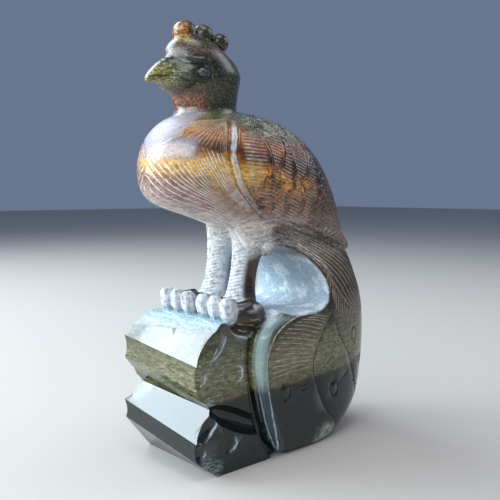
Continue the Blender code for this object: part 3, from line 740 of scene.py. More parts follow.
def drape_rear(skin, side, points):
    """Throw points given by bearing from the rear, in degrees, and height, in mm, onto the train."""
    rays = []
    for bearing, z in points:
        turn = math.radians(bearing)
        way = Vector((side * math.sin(turn), math.cos(turn), 0))
        rays.append((Vector((0, TRAIN_MIDDLE_Y, z * MM)) + OUTSIDE * way, -way))
    return landed(skin, rays)


def snapped(skin, side, points, count=40):
    """A smooth curve through points in mm on the right side, moved onto the skin."""
    curve = smooth_through(points, count) * MM
    return [skin.find_nearest(Vector((side * x, y, z)))[0] for x, y, z in curve]


def wing_axis(y):
    """Height of the middle line round which the wings are laid out."""
    return BODY_MIDDLE.z - WING_FALL * np.maximum(0.0, y - BODY_MIDDLE.y)


# The sweep of the breast's feather lines from the bib back under the wing, lowest line first, as
# bearings from the front and elevations in degrees, seen from the middle of the body
BREAST_SWEEP = (
    ((-6, -36), (8, -48), (30, -58), (60, -64), (86, -64)),
    ((-8, -8), (6, -26), (20, -44), (44, -60), (86, -61)),
    ((1, 10), (17, -5), (34, -20), (54, -42), (88, -58)),
    ((18, 20), (30, 0), (45, -18), (62, -38), (92, -55)),
    ((31, 18), (39, 4), (50, -14), (68, -34), (98, -53)),
    ((46, 15), (53, -3), (63, -18), (79, -34), (104, -51)),
)
BREAST_LINES = 28
FAN_ROOT = (50, 45)
FAN_BENDS = ((15, 22), (22, 22), (31, 18), (38, 16), (46, 15), (50, 12))
FAN_LINES = 15
BIB_EDGE = ((0, 8), (8, 16), (16, 20), (21, 22), (24, 27), (26, 33), (27, 40))


def line_gaps(skin, flats, side):
    """How far each point of a family of lines is from the nearest neighbouring line."""
    places = np.array([drape_round(skin, side, flat) for flat in flats])
    steps = np.linalg.norm(np.diff(places, axis=0), axis=2)
    return np.minimum(np.vstack([steps[:1], steps]), np.vstack([steps, steps[-1:]]))


def breast_lines(skin, lines):
    """Long feather lines that sweep back under the wings, and a fan of finer ones above them."""
    guides = np.array([smooth_through(line, 60).ravel() for line in BREAST_SWEEP])
    bends = smooth_through(FAN_BENDS, FAN_LINES)
    for side in SIDES:
        flats = smooth_through(guides, BREAST_LINES).reshape(BREAST_LINES, 60, 2)
        gaps = line_gaps(skin, flats, side)
        for flat, gap in zip(flats, gaps):
            keep = flat[:, 0] >= -0.5
            wide = np.clip(0.6 * gap[keep], 0.36 * MM, 0.9 * MM)
            look = np.clip(gap[keep] / (0.95 * MM), 0.45, 1.0)
            bearing, rise = flat[keep].T
            look *= 1 - step(7, 11, rise) * (1 - step(32, 38, bearing))
            lines.add(drape_round(skin, side, flat[keep]), (wide, 0.36 * wide * look, look), 0.04)
        for i, bend in enumerate(bends):
            root = np.array(FAN_ROOT) + (0.25 * (7 - i), 0.9 * max(0, 4 - i))
            middle = 0.5 * (root + bend) + (0.0, 1.5)
            curve = smooth_through((root + 0.12 * (bend - root), middle, bend), 30)
            lines.add(drape_round(skin, side, curve), FAN, 0.06)
        lines.add(drape_round(skin, side, smooth_through(BIB_EDGE[:5], 40)), FAN, 0.15)


# The scales of a folded wing from the front, each laid over the next: the angle of its middle and
# half its width, in degrees from the top, its tip along the body and its depth, in mm
SCALES = (
    (22, 22, -8.5, 9.0), (74, 30, -7.6, 11.0),
    (6, 16, -0.5, 7.0), (52, 31, 0.6, 9.0), (96, 14, -2.4, 6.0), (117, 10, -5.5, 5.0),
    (27, 21, 7.0, 7.5), (70, 36, 4.7, 6.5), (112, 13, 2.0, 5.0),
    (5, 17, 13.5, 7.5), (47, 36, 14.9, 10.5), (99, 21, 10.4, 4.5), (120, 9, 9.5, 4.0),
    (25, 20, 20.5, 8.0), (74, 31, 20.0, 8.0), (113, 14, 17.0, 5.0),
)
SCALE_LIFT = 0.42 * MM
LIFT_REACH = 3.0
BARB_PITCH = 3.1
GRAIN = 0.2 * MM
# The wing's front edge: angle from the top and where along the body the scales begin, in mm
WING_FRONT = ((0, -15), (25, -17), (48, -20.5), (68, -23), (84, -22.5), (97, -19.3), (111, -13),
              (122, -6), (126, 3), (129, 60))
WING_EDGE = ((16.7, -19.8, 139.9), (22.5, -23.3, 134.0), (25.5, -26.0, 126.5), (26.2, -25.0, 120.0),
             (25.6, -21.9, 114.0), (23.8, -15.6, 107.8), (21.3, -7.0, 102.2), (20.0, 7.8, 98.0),
             (18.3, 21.3, 94.4), (17.3, 35.1, 90.2), (15.5, 46.0, 86.5))
LONG_FEATHERS = (5, 17, 31, 45, 58, 71, 84, 96, 107, 117)
LONG_FEATHERS_START = 17.0
LONG_FEATHERS_END = 47.0
CONVERGE_ANGLE = 124.0


def wing_front(angle):
    """Where the wing's front edge lies along the body, in mm, at an angle."""
    angles, places = np.array(WING_FRONT, float).T
    return np.interp(angle, angles, places)


def scale_edge(scale, angle):
    """Where the edge of a scale lies along the body, in mm, at an angle."""
    middle, half, tip, depth = scale
    across = np.clip((angle - middle) / half, -1, 1)
    inside = np.abs(angle - middle) < half
    return np.where(inside, tip - depth * (1 - np.sqrt(1 - across ** 2)), -1e3)


def scale_cover(y, angle):
    """Which scale lies on top at each point, or -1 behind them all, and how far its edge is, in mm."""
    owner = np.full(np.shape(y), -1)
    room = np.full(np.shape(y), 1e3)
    for i in reversed(range(len(SCALES))):
        away = scale_edge(SCALES[i], angle) - y
        inside = away > 0
        owner = np.where(inside, i, owner)
        room = np.where(inside, away, room)
    return owner, room


def runs(keep):
    """The start and stop of each unbroken run of true values."""
    edges = np.flatnonzero(np.diff(np.concatenate(([0], np.asarray(keep, int), [0]))))
    return zip(edges[::2], edges[1::2])


def wing_lines(skin, edges, barbs):
    """Scales over the shoulder, each with barbs, and long feathers towards the tip."""
    for i, scale in enumerate(SCALES):
        middle, half, tip, depth = scale
        share = np.sin(np.linspace(-math.pi / 2, math.pi / 2, 60))
        angle = middle + 0.995 * half * share
        y = scale_edge(scale, angle)
        owner = scale_cover(y - 0.05, angle)[0]
        keep = (owner == i) & (y > wing_front(angle)) & (angle > -0.5) & (angle < 126)
        keep &= (y > 2) | (angle > 24)
        for start, stop in runs(keep):
            for side in SIDES:
                edges.add(drape_wing(skin, side, list(zip(y, angle))[start:stop]), SCALE_EDGE)
        if i == 0:
            continue
        count = int(2 * half / BARB_PITCH)
        for j in range(count):
            turn = middle + (j + 0.5 - count / 2) * BARB_PITCH
            y = np.arange(tip - depth - 16, tip, 0.35)
            angle = turn + 0.1 * (y - tip)
            here = scale_cover(y, angle)[0] == i
            here &= scale_cover(y + 1.0, angle)[0] == i
            here &= scale_cover(y - 0.9, angle)[0] == i
            here &= (y > wing_front(angle) + 1.0) & (angle < 123) & (angle > 2)
            here &= (y > -6) | (angle > 53)
            for start, stop in runs(here):
                if stop - start > 4:
                    for side in SIDES:
                        style = SHOULDER_BARB if i == 1 else BARB
                        barbs.add(drape_wing(skin, side, list(zip(y, angle))[start:stop]), style, 0.12)
    feathers = [long_feather(turn) for turn in LONG_FEATHERS]
    for feather in feathers:
        behind = scale_cover(feather[:, 0], feather[:, 1])[0] == -1
        for side in SIDES:
            edges.add(drape_wing(skin, side, feather[behind]), SCALE_EDGE)
    for upper, feather in zip(feathers, feathers[1:]):
        for i in range(2, len(feather) - 6, 3):
            root, out = feather[i], upper[min(i + 5, len(feather) - 1)]
            slant = np.linspace(root, root + 0.8 * (out - root), 12)[1:]
            if (scale_cover(slant[:, 0] - 0.8, slant[:, 1])[0] == -1).all():
                for side in SIDES:
                    barbs.add(drape_wing(skin, side, slant), FINE_BARB, 0.15)
    for side in SIDES:
        spine = [(y, 0.5) for y in np.arange(-10, LONG_FEATHERS_END, 0.5)]
        edges.add(drape_wing(skin, side, spine), DARK_CUT, 0.05)


def long_feather(turn):
    """The line of a long wing feather, from behind the scales towards the tip of the wing."""
    share = np.linspace(0, 1, 46)
    y = LONG_FEATHERS_START - 4 + share * (LONG_FEATHERS_END - LONG_FEATHERS_START + 4)
    gather = 0.85 * min(1.0, max(0.1, turn / 60))
    return np.stack([y, turn + gather * (CONVERGE_ANGLE - turn) * share ** 1.7], 1)


# The train seen from the side, in mm along and up
HOLLOW_LIP = ((4, 93.5), (14, 91), (24, 84.8), (31, 75), (32, 66), (30, 60))
QUILL = ((12, 88.5), (20.3, 83.2), (26.7, 76.8), (31.7, 71.1), (37.5, 63.8), (47.6, 55.0))
OUTER_COVERT = ((8, 96), (24, 91), (39, 84.5), (49, 76), (55, 66), (58, 56))
COVERTS = 8
LOWER_BARB_ENDS = ((27, 70.5), (30.1, 63.8), (32.2, 58.6), (35.6, 56), (39.4, 53), (44, 51.5))
# The deep cuts that part the lobes: on the left, on the right and a short branch at the foot
SPLITS = (
    ((29.1, 59.6), (23.7, 52.6), (20.1, 46.6), (17.3, 40.7), (17.1, 33.1), (20.1, 24.8), (25.5, 15.1),
     (31.6, 9.7), (36.9, 5.1)),
    ((29.4, 58.5), (32.7, 49.6), (37.5, 42.8), (42.3, 36), (43.5, 31.4), (48.3, 19.9), (50, 14)),
    ((32, 9.4), (33.8, 5.5), (34.5, 3)),
)
EYES = ((0.5, 28.7, 2.8, 3.4), (30.1, 24.4, 2.7, 3.2), (44.8, 47.1, 2.2, 2.9))
ARC = ((55.2, 36.5), (49.3, 35.2), (44.3, 35.6), (41.4, 38.1))
EYE_LINES = (((32.8, 26.4), (37.2, 28.8), (41.7, 31.4)), ((4.1, 29.2), (10, 29.7), (16.7, 30.8)),
             ((6.6, 27.5), (11.5, 27.9), (16.7, 29)))
LOBE_BARB_STARTS = ((16, 59), (8.5, 58), (1.5, 56), (-3.8, 52.4), (-6.6, 47), (-7.8, 41), (-7.8, 35.5))
LOBE_BARB_ENDS = ((26.2, 57), (24.4, 54.6), (22, 51), (19.7, 47.2), (17.8, 43.4), (16.6, 40.2),
                  (16.3, 37))
LOBE_BARBS = 15
RIM_INNER = ((-1, 3), (-3.6, 8), (-6.0, 16), (-8.5, 27), (-9.4, 35), (-9.5, 42.5), (-7.5, 49),
             (-4, 54.2), (1.9, 58), (8, 59.8), (16, 60.6))
# The rear of the train: bearing from the rear in degrees and height in mm
REAR_EYES = ((0, 47, 9.5, 3.2), (30, 33, 7.5, 3.2), (0, 20, 8.5, 3.2))
REAR_ARCS = (((-1, 31), (9, 33.5), (17, 40), (21, 49), (20, 57)),
             ((12, 17), (22, 20.5), (38, 21), (50, 25)), ((-1, 8), (8, 10), (14, 17), (16, 24)))


def ring(centre, wide, high):
    """A closed oval in a flat view."""
    turn = np.linspace(0, 2 * math.pi, 41)
    return np.stack([centre[0] + wide * np.cos(turn), centre[1] + high * np.sin(turn)], 1)


def train_lines(skin, cuts, barbs):
    """The long coverts, quills, eyes and barbs of the train, on both sides and plainer behind."""
    quill, outer = smooth_through(QUILL, 70), smooth_through(OUTER_COVERT, 70)
    lip = smooth_through(HOLLOW_LIP, 70)
    starts, ends = smooth_through(LOBE_BARB_STARTS, LOBE_BARBS), smooth_through(LOBE_BARB_ENDS, LOBE_BARBS)
    lower = smooth_through(LOWER_BARB_ENDS, 12)
    for side in SIDES:
        for share in np.linspace(0, 1, COVERTS):
            barbs.add(drape_side(skin, side, quill + share * (outer - quill)), COVERT, 0.04)
        for share in (0.3, 0.65):
            line = (lip + share * (quill - lip))[:40]
            barbs.add(drape_side(skin, side, line), COVERT, 0.08)
        for i, end in enumerate(lower):
            root = quill[30 + int(3.2 * i)]
            barbs.add(drape_side(skin, side, np.linspace(root, end, 14)), BARB, 0.12)
        for line in SPLITS:
            cuts.add(drape_side(skin, side, smooth_through(line, 70)), DARK_CUT, 0.02)
        for y, z, wide, high in EYES:
            cuts.add(drape_side(skin, side, ring((y, z), wide, high)), DARK_RING)
        cuts.add(drape_side(skin, side, smooth_through(ARC, 24)), FINE_BARB, 0.1)
        for line in EYE_LINES:
            cuts.add(drape_side(skin, side, smooth_through(line, 24)), EYE_LINE, 0.1)
        for start, end in zip(starts, ends):
            bow = 0.5 * (start + end) + (0.3, 0.5)
            barbs.add(drape_side(skin, side, smooth_through((start, bow, end), 20)), LOBE_BARB, 0.1)
        rear_lines(skin, side, cuts, barbs)


def rear_lines(skin, side, cuts, barbs):
    """A central quill with barbs, below it eyes and arcs."""
    if side == 1:
        cuts.add(drape_rear(skin, 1, [(0, z) for z in np.linspace(58, 92, 60)]), COVERT, 0.05)
    for bearing in np.arange(5.5, 38, 5.5):
        fall = [(bearing * (0.8 + 0.3 * share), 88 - 30 * share) for share in np.linspace(0, 1, 50)]
        barbs.add(drape_rear(skin, side, fall), COVERT, 0.12)
    for bearing, z, wide, high in REAR_EYES:
        if bearing or side == 1:
            cuts.add(drape_rear(skin, side, ring((bearing, z), wide, high)), DARK_RING)
    for line in REAR_ARCS:
        cuts.add(drape_rear(skin, side, smooth_through(line, 50)), DARK_CUT, 0.04)
    for bearing in np.arange(3, 38, 4.2):
        slant = smooth_through(((bearing, 3.5), (bearing + 1.0, 6.5), (bearing + 3.5, 9.5)), 12)
        barbs.add(drape_rear(skin, side, slant), FINE_BARB, 0.15)


# Eye and face, in mm on the right side
EYE = (12.3, -30.9, 157.6)
BROW = ((8.1, -36.0, 163.9), (9.8, -34.1, 163.2), (10.9, -32.2, 162.6), (12.0, -29.5, 162.6),
        (12.8, -26.8, 161.6))
BROW_HOLLOW = ((9.9, -34.6, 160.9), (11.4, -32.0, 161.0), (12.6, -29.0, 161.2), (13.4, -26.4, 160.4))
MOUTH = ((0.6, -48.9, 155.1), (3.3, -45.9, 155.9), (4.6, -42.3, 156.0), (8.1, -39.7, 155.6),
         (9.4, -37.3, 154.6), (10.8, -34.5, 153.4))
CHEEK = ((5.2, -42.7, 158.0), (9.8, -37.8, 157.0), (11.2, -33.6, 155.2), (12.5, -30.0, 154.4),
         (13.4, -26.6, 154.9))
CERE = ((0.5, -42.6, 162.5), (3.0, -42.3, 161.9), (4.8, -41.6, 160.6), (6.0, -41.2, 158.8))
NOSTRIL = (3.9, -45.2, 158.4)
# Rings round an eye: radius in mm, style, and where each begins and ends, in degrees from behind
EYE_RINGS = (
    (2.2, (1.0 * MM, 0.62 * MM, -1.0), 0, 360),
    (3.45, (0.8 * MM, 0.36 * MM, -0.9), -62, 62),
    (4.3, (0.9 * MM, 0.25 * MM, 0.3), -38, 45),
)
# Soft folds and cuts of the face: their line, style and taper
FACE_FOLDS = (
    (BROW, (1.8 * MM, -0.55 * MM, 0.0), 0.2),
    (BROW_HOLLOW, (4.2 * MM, 0.6 * MM, 0.0), 0.3),
    (CHEEK, (2.4 * MM, -0.5 * MM, 0.0), 0.2),
)
FACE_CUTS = ((MOUTH, (0.85 * MM, 0.42 * MM, -1.0), 0.08), (CERE, (1.3 * MM, 0.35 * MM, -0.4), 0.15))


def face_lines(skin, cuts, folds):
    """The eyes in their rings, the brows, the mouth and the cheeks."""
    for side in SIDES:
        centre = Vector(EYE) * MM
        place, normal, _, _ = skin.find_nearest(Vector((side * centre.x, centre.y, centre.z)))
        back = (Vector((0, 1, 0)) - normal * normal.y).normalized()
        up = normal.cross(back) * side
        for radius, style, first, last in EYE_RINGS:
            circle = []
            for turn in np.radians(np.linspace(first, last, 50)):
                out = place + radius * MM * (math.cos(turn) * back + 0.95 * math.sin(turn) * up)
                circle.append(skin.find_nearest(out)[0])
            cuts.add(circle, style, 0.0 if last - first == 360 else 0.12)
        folds.add([place, place + 0.05 * MM * back], EYE_BALL_FOLD)
        for lines, table in ((folds, FACE_FOLDS), (cuts, FACE_CUTS)):
            for line, style, taper in table:
                lines.add(snapped(skin, side, line), style, taper)
        hole = snapped(skin, side, (NOSTRIL, np.array(NOSTRIL) + (0.1, 0.5, 0.1)), 3)
        cuts.add(hole, NOSTRIL_CUT)


def leg_lines(skin, scutes):
    """Rings of scutes round the front of both legs."""
    outs, backs, highs = np.array(LEG_STATIONS)[::-1, :3].T
    for side in SIDES:
        for high in np.arange(0.2, 0.9, SCUTE_PITCH / LEG_LENGTH):
            x = side * np.interp(high, highs, outs) * LEG_SPACING
            y = LEG_Y + np.interp(high, highs, backs) * LEG_LENGTH
            rays = []
            for turn in np.radians(np.linspace(-115, 62, 40)):
                drop = 0.8 * MM * math.cos(2 * (turn - math.radians(-25)))
                start = Vector((x, y, ROCK_TOP + high * LEG_LENGTH - drop))
                rays.append((start, Vector((math.sin(turn), -math.cos(turn), 0))))
            scutes.add(landed(skin, rays), SCUTE, 0.1)


# The shallow cups drilled in the rock's end faces, in mm along and up, with their radius, and the
# frosted crescents on the rear edges of the cuts
CUPS = ((-23.7, 39.7, 3.4), (-25.6, 11.6, 3.0))
CRESCENTS = (
    ((-21.9, 43.4), (-19.5, 41.3), (-19.4, 38.0), (-22.6, 35.7)),
    ((-23.4, 14.6), (-22.0, 12.0), (-23.2, 9.6), (-26.4, 8.1)),
    ((-27.6, 56.6), (-27.8, 54.0), (-29.9, 50.2), (-32.8, 47.6), (-36.1, 46.4)),
    ((-37.6, 42.7), (-37.4, 39.8), (-39.6, 37.6)),
    ((-31.8, 24.0), (-32.2, 21.2), (-34.9, 17.4), (-37.8, 14.9)),
    ((-37.9, 12.2), (-37.6, 10.6), (-39.4, 9.6)),
    ((-26.0, 57.7), (-21.9, 55.0), (-15.5, 53.2), (-10.3, 53.8), (-8.0, 56.0)),
)


def rock_lines(skin, cuts, lips):
    """Shallow drilled cups on the end faces, and light crescents at the rear of each cut."""
    for side in SIDES:
        for y, z, radius in CUPS:
            cuts.add(drape_side(skin, side, ring((y, z), 0.45 * radius, 0.5 * radius)),
                     (1.9 * radius * MM, CUP_DEPTH, CUP_LOOK))
        for line in CRESCENTS:
            lips.add(drape_side(skin, side, smooth_through(line, 24)), CRESCENT, 0.3)


def wave_lines(skin, waves):
    """Flowing lines on the top of the rock before the claws and round the feet."""
    along = np.linspace(-25, 24, 60)
    flats = [np.stack([along, back + 0.9 * np.sin(along / length + back)], axis=1)
             for back, length in ((-30.6, 5.0), (-32.8, 6.0), (-35.2, 7.0))]
    for side in SIDES:
        for grow in (0, 2.3, 4.6):
            turn = np.radians(np.linspace(-40, 75, 40))
            radius = 9.5 + grow
            flats.append(np.stack([side * (12 + radius * np.cos(turn)), -16 + radius * np.sin(turn)], axis=1))
    for flat in flats:
        places = [skin.ray_cast(Vector((x * MM, y * MM, ROCK_TOP + 2 * MM)), Vector((0, 0, -1)), 6 * MM)[0]
                  for x, y in flat]
        level = [place for place in places if place is not None and place.z < ROCK_TOP + 0.5 * MM]
        if len(level) > 1:
            waves.add(level, WAVE, 0.15)


def rim_lines(skin, cuts, lips):
    """The rim of the train: a light raised line on its inner edge with a cut beside it, and a painted glint
    along the rim's outer side.
    """
    inner = smooth_through(RIM_INNER, 80)
    step = np.gradient(inner, axis=0)
    across = np.stack([step[:, 1], -step[:, 0]], 1) / np.linalg.norm(step, axis=1)[:, None]
    for side in SIDES:
        lips.add(drape_side(skin, side, inner), RIM_LINE, 0.03)
        outer = rim_path(side, 0.35, -0.04)[0]
        lips.add([skin.find_nearest(place)[0] for place in outer], RIM_GLINT, 0.05)
        cuts.add(drape_side(skin, side, inner + 0.95 * across), RIM_CUT, 0.03)
        cuts.add(drape_side(skin, side, inner - 1.6 * across), RIM_TROUGH, 0.03)


def edge_band(skin, bands, cuts):
    """The raised edge of a folded wing with a cut on both sides of it."""
    for side in SIDES:
        middle = snapped(skin, side, WING_EDGE, 120)
        bands.add(middle, WING_BAND, 0.06)
        for i in (-1, 1):
            border = []
            for j in range(1, len(middle) - 1):
                along = (middle[j + 1] - middle[j - 1]).normalized()
                normal = skin.find_nearest(middle[j])[1]
                wide = (1.75 - 0.5 * j / len(middle)) * MM
                border.append(skin.find_nearest(middle[j] + i * wide * along.cross(normal))[0])
            cuts.add(border, BORDER, 0.05)


def sharp_edges(thing):
    """A tree of close points along the sharp edges of a solid."""
    bm = bmesh.new()
    bm.from_mesh(thing.data)
    places = []
    for edge in bm.edges:
        if len(edge.link_faces) == 2 and edge.calc_face_angle() > SHARP_ANGLE:
            start, stop = edge.verts[0].co, edge.verts[1].co
            count = max(1, int(edge.calc_length() / (0.4 * VOXEL)))
            places += [start.lerp(stop, i / count) for i in range(count + 1)]
    bm.free()
    tree = KDTree(len(places))
    for i, place in enumerate(places):
        tree.insert(place, i)
    tree.balance()
    return tree


def fine_skin():
    """The whole carving as one fine even skin, crisp on the rock and the claws and soft elsewhere."""
    stone, trunk, train = rock(), body(), tail()
    opening = hollow()
    cutters = rock_cutters() + [valley(side) for side in SIDES]
    without(stone, cutters)
    without(train, [opening])
    without(trunk, [opening])
    depsgraph = bpy.context.evaluated_depsgraph_get()
    inside = BVHTree.FromObject(opening, depsgraph)
    for cutter in cutters + [opening]:
        bpy.data.objects.remove(cutter)
    feet = foot(-1) + foot(1)
    claws = [thing for thing in feet if thing.name.startswith("claw")]
    depsgraph = bpy.context.evaluated_depsgraph_get()
    exact = [BVHTree.FromObject(thing, depsgraph) for thing in [stone] + claws]
    edges = sharp_edges(stone)
    made = [stone, trunk, train] + neck_and_head() + crest() + feet
    for side in SIDES:
        made += [leg(side), rim(side), wing_tip(side)]
    skin = joined("peacock_carving_stone", made)
    remesh(skin, VOXEL)
    co = coordinates(skin)
    soft = np.ones(len(co), bool)
    corners = np.zeros(len(co), bool)
    for i in np.nonzero((co[:, 1] < -0.1 * TAIL_REAR) & (co[:, 2] < ROCK_TOP + TOE_HEIGHT))[0]:
        for tree in exact[:1] if co[i, 2] < ROCK_TOP - MM else exact:
            place, _, _, _ = tree.find_nearest(Vector(co[i]), 0.75 * VOXEL)
            if place is not None:
                corner, _, away = edges.find(place)
                corners[i] = away < 0.7 * VOXEL and tree == exact[0]
                co[i] = corner if corners[i] else place
                soft[i] = False
                break
    skin.data.vertices.foreach_set("co", co.ravel())
    relax(skin, SMOOTHING, np.nonzero(soft)[0].tolist())
    relax(skin, 1, np.nonzero(~corners)[0].tolist())
    store(skin, "flat", (~soft).astype(float))
    return skin, inside, exact[1:]


def store(skin, name, values):
    """Keep a value for each vertex of the skin under a name."""
    marks = skin.data.attributes.new(name, "FLOAT", "POINT")
    marks.data.foreach_set("value", values)


def relax(skin, rounds, indices):
    """Smooth the vertices given by their indices."""
    group = skin.vertex_groups.new(name="soft")
    group.add(indices, 1.0, "REPLACE")
    modifier = skin.modifiers.new("soften", "SMOOTH")
    modifier.factor = 0.5
    modifier.iterations = rounds
    modifier.vertex_group = group.name
    evaluated(skin)
    skin.vertex_groups.clear()


def coordinates(skin, kind="co"):
    """The places of the skin's vertices or, as another kind, their normals."""
    found = np.empty(3 * len(skin.data.vertices))
    skin.data.vertices.foreach_get(kind, found)
    return found.reshape(-1, 3)


def step(low, high, value):
    """0 below low, 1 above high and smooth between."""
    share = np.clip((value - low) / (high - low), 0, 1)
    return share * share * (3 - 2 * share)


def scale_lift(co):
    """How much the scales of the wings stand up towards their edges."""
    mm = co / MM
    angle = np.degrees(np.arctan2(np.abs(mm[:, 0]), mm[:, 2] - wing_axis(co[:, 1]) / MM))
    owner, room = scale_cover(mm[:, 1], angle)
    into = mm[:, 1] - wing_front(angle)
    on_wing = (owner >= 0) * step(0.5, 4.0, into) * (co[:, 2] > BELLY_Z + 4 * MM)
    return SCALE_LIFT * on_wing * np.exp(-room / LIFT_REACH)


def carve(skin, inside, claws):
    """Carve the skin: soft folds and bands, then scales, then lines; and mark how each place looks."""
    depsgraph = bpy.context.evaluated_depsgraph_get()
    tree = BVHTree.FromObject(skin, depsgraph)
    co = coordinates(skin)
    normals = coordinates(skin, "normal")
    folds, bands, cuts, barbs = Lines(), Lines(), Lines(), Lines()
    breast_lines(tree, barbs)
    wing_lines(tree, cuts, barbs)
    train_lines(tree, cuts, barbs)
    face_lines(tree, cuts, folds)
    leg_lines(tree, barbs)
    rock_lines(tree, cuts, folds)
    wave_lines(tree, barbs)
    rim_lines(tree, cuts, folds)
    edge_band(tree, bands, cuts)
    down = np.zeros(len(co))
    look = np.zeros(len(co))
    for lines, flat in ((folds, 1.0), (bands, 1.7)):
        depth, mark = lines.press(co, flat)
        down += depth
        look += mark
    band = depth / WING_BAND[1]
    down -= scale_lift(co) * (1 - band)
    deep, mark = cuts.press(co)
    fine, fine_mark = barbs.press(co)
    fine_share = (1 - np.clip(band * 1.6, 0, 1)) * (deep < 0.12 * MM)
    down += np.maximum(deep, fine * fine_share)
    look += np.where(np.abs(mark) > 0.25, mark, fine_mark * fine_share)
    frost_and_painted_light = frost_and_painted_light_mask(co, normals, inside, claws, band)
    down += GRAIN * frost_and_painted_light * (fleck(co) - 0.5)
    skin.data.vertices.foreach_set("co", (co - down[:, None] * normals).ravel())
    marks = {"carved": np.clip(look, -1, 1), "frost_and_painted_light": frost_and_painted_light, "bib": bib(co), "rim": rim_mark(co)}
    for name, values in marks.items():
        store(skin, name, values)


def near(tree, co, chosen, reach):
    """1 on a surface, falling to 0 at a distance from it, for the chosen vertices."""
    result = np.zeros(len(co))
    for i in np.nonzero(chosen)[0]:
        distance = tree.find_nearest(Vector(co[i]), reach)[3]
        if distance is not None:
            result[i] = 1 - distance / reach
    return result


# The ways in which the waves of the unevenness run, per mm
FLECK_WAYS = ((1.9, 1.1, 2.3), (-2.2, 1.7, 1.2), (1.3, -2.4, 1.9), (0.7, 2.1, -2.6), (2.8, 0.4, 0.9))


def fleck(co):
    """Small even unevenness from a few crossed waves, 0 to 1."""
    waves = np.zeros(len(co))
    for i, way in enumerate(np.array(FLECK_WAYS)):
        bent = 1.5 * np.sin(co @ way[::-1] * 0.31 / MM)
        waves += np.sin(co @ way / MM + 1.7 * i + bent)
    return 0.5 + waves / 10


def rim_mark(co):
    """How much each place lies on the rim of the train, 0 to 1."""
    tree = KDTree(2 * RIM_POINTS)
    wide = []
    for side in SIDES:
        for place, width in zip(*rim_path(side)):
            tree.insert(place, len(wide))
            wide.append(width)
    tree.balance()
    mark = np.zeros(len(co))
    for i in np.nonzero((co[:, 1] < 0.3 * TAIL_REAR) & (co[:, 2] < 1.04 * LOBE_TOP))[0]:
        _, index, away = tree.find(co[i])
        mark[i] = 1 - away / max(0.8 * wide[index], MM)
    return step(0.0, 0.5, mark)


def frost_and_painted_light_mask(co, normals, inside, claws, band):
    """Where the stone is left frosted and pale, 0 to 1, with painted light: pale only on the legs' side that
    faces the lamps at the front left, and paler on the top of the wing's band as a painted highlight.
    """
    x, y, z = (co / MM).T
    frost_and_painted_light = np.zeros(len(co))
    # Partly painted light: the legs' frost is laid only on the side that faces the lamps at the front left,
    # so that side is pale and the other dark.
    lit = normals @ np.array((-0.85, -0.52, 0.1))
    on_legs = (z > 66) * (1 - step(85, 94, z)) * (np.abs(y + 9 + 0.12 * (z - 76)) < 9)
    on_legs *= (np.abs(x) < 16) * step(-0.7, -0.5, normals[:, 2])
    frost_and_painted_light = np.maximum(frost_and_painted_light, on_legs * step(-0.62, -0.22, lit + np.where(x < 0, 0.55, 0.0)))
    chosen = (z > 56) & (z < 73) & (y < -14)
    for claw in claws:
        frost_and_painted_light = np.maximum(frost_and_painted_light, step(0.0, 0.5, near(claw, co, chosen, 0.9 * MM)))
    top = step(0.5, 0.8, normals[:, 2]) * (z > 57) * (z < 66) * (y < 4)
    frost_and_painted_light = np.maximum(frost_and_painted_light, 0.85 * top)
    hollow_area = (z > 58) & (z < 92) & (y > -8) & (y < 34)
    inwards = ((10.0 - y) * normals[:, 1] + (75.0 - z) * normals[:, 2]) / np.hypot(10.0 - y, 75.0 - z)
    walls = step(0.1, 0.6, near(inside, co, hollow_area, 1.2 * MM)) * step(-1.0, 3.0, y)
    walls *= step(0.0, 0.3, inwards)
    walls *= (1 - step(82, 87, z)) * np.where(y < 7, step(0.45, 0.7, inwards), 1)
    frost_and_painted_light = np.maximum(frost_and_painted_light, walls)
    # Painted highlight: the wing's band is frosted paler between 119 and 138 mm high.
    shoulder_highlight = 0.35 * step(119, 123, z) * (1 - step(136, 138, z))
    frost_and_painted_light = np.maximum(frost_and_painted_light, (0.5 + shoulder_highlight) * np.clip(1.3 * band, 0, 1))
    return np.clip(frost_and_painted_light, 0, 1)


def bib(co):
    """The plain pale bib below the throat, and the polished patch above the breast lines painted pale as a
    highlight, 0 to 1.
    """
    away = co - np.array(BODY_MIDDLE)
    bearing = np.degrees(np.arctan2(np.abs(away[:, 0]), -away[:, 1]))
    rise = np.degrees(np.arctan2(away[:, 2], np.hypot(away[:, 0], away[:, 1])))
    edge = np.interp(bearing, *np.array(BIB_EDGE).T)
    # The polished patch above the breast lines, painted in the bib's pale colours at three quarters as a
    # painted highlight.
    patch = step(7.5, 9.5, rise) * (1 - step(31, 36, bearing)) * (1 - step(20, 24, rise))
    plain = step(-1.0, 2.5, rise - edge) * (1 - step(24, 30, bearing))
    plain *= 1 - step(24, 27, co[:, 2] / MM - 117.9)
    return np.maximum(plain, 0.75 * patch)


def sharpen(skin):
    """Give the flat facets of the rock crisp edges."""
    bm = bmesh.new()
    bm.from_mesh(skin.data)
    flat = bm.verts.layers.float["flat"]
    for edge in bm.edges:
        on_rock = edge.verts[0][flat] > 0.5 and edge.verts[1][flat] > 0.5
        if on_rock and edge.verts[0].co.z < ROCK_TOP and len(edge.link_faces) == 2:
            edge.smooth = edge.calc_face_angle() < SHARP_ANGLE
    bm.to_mesh(skin.data)
    bm.free()


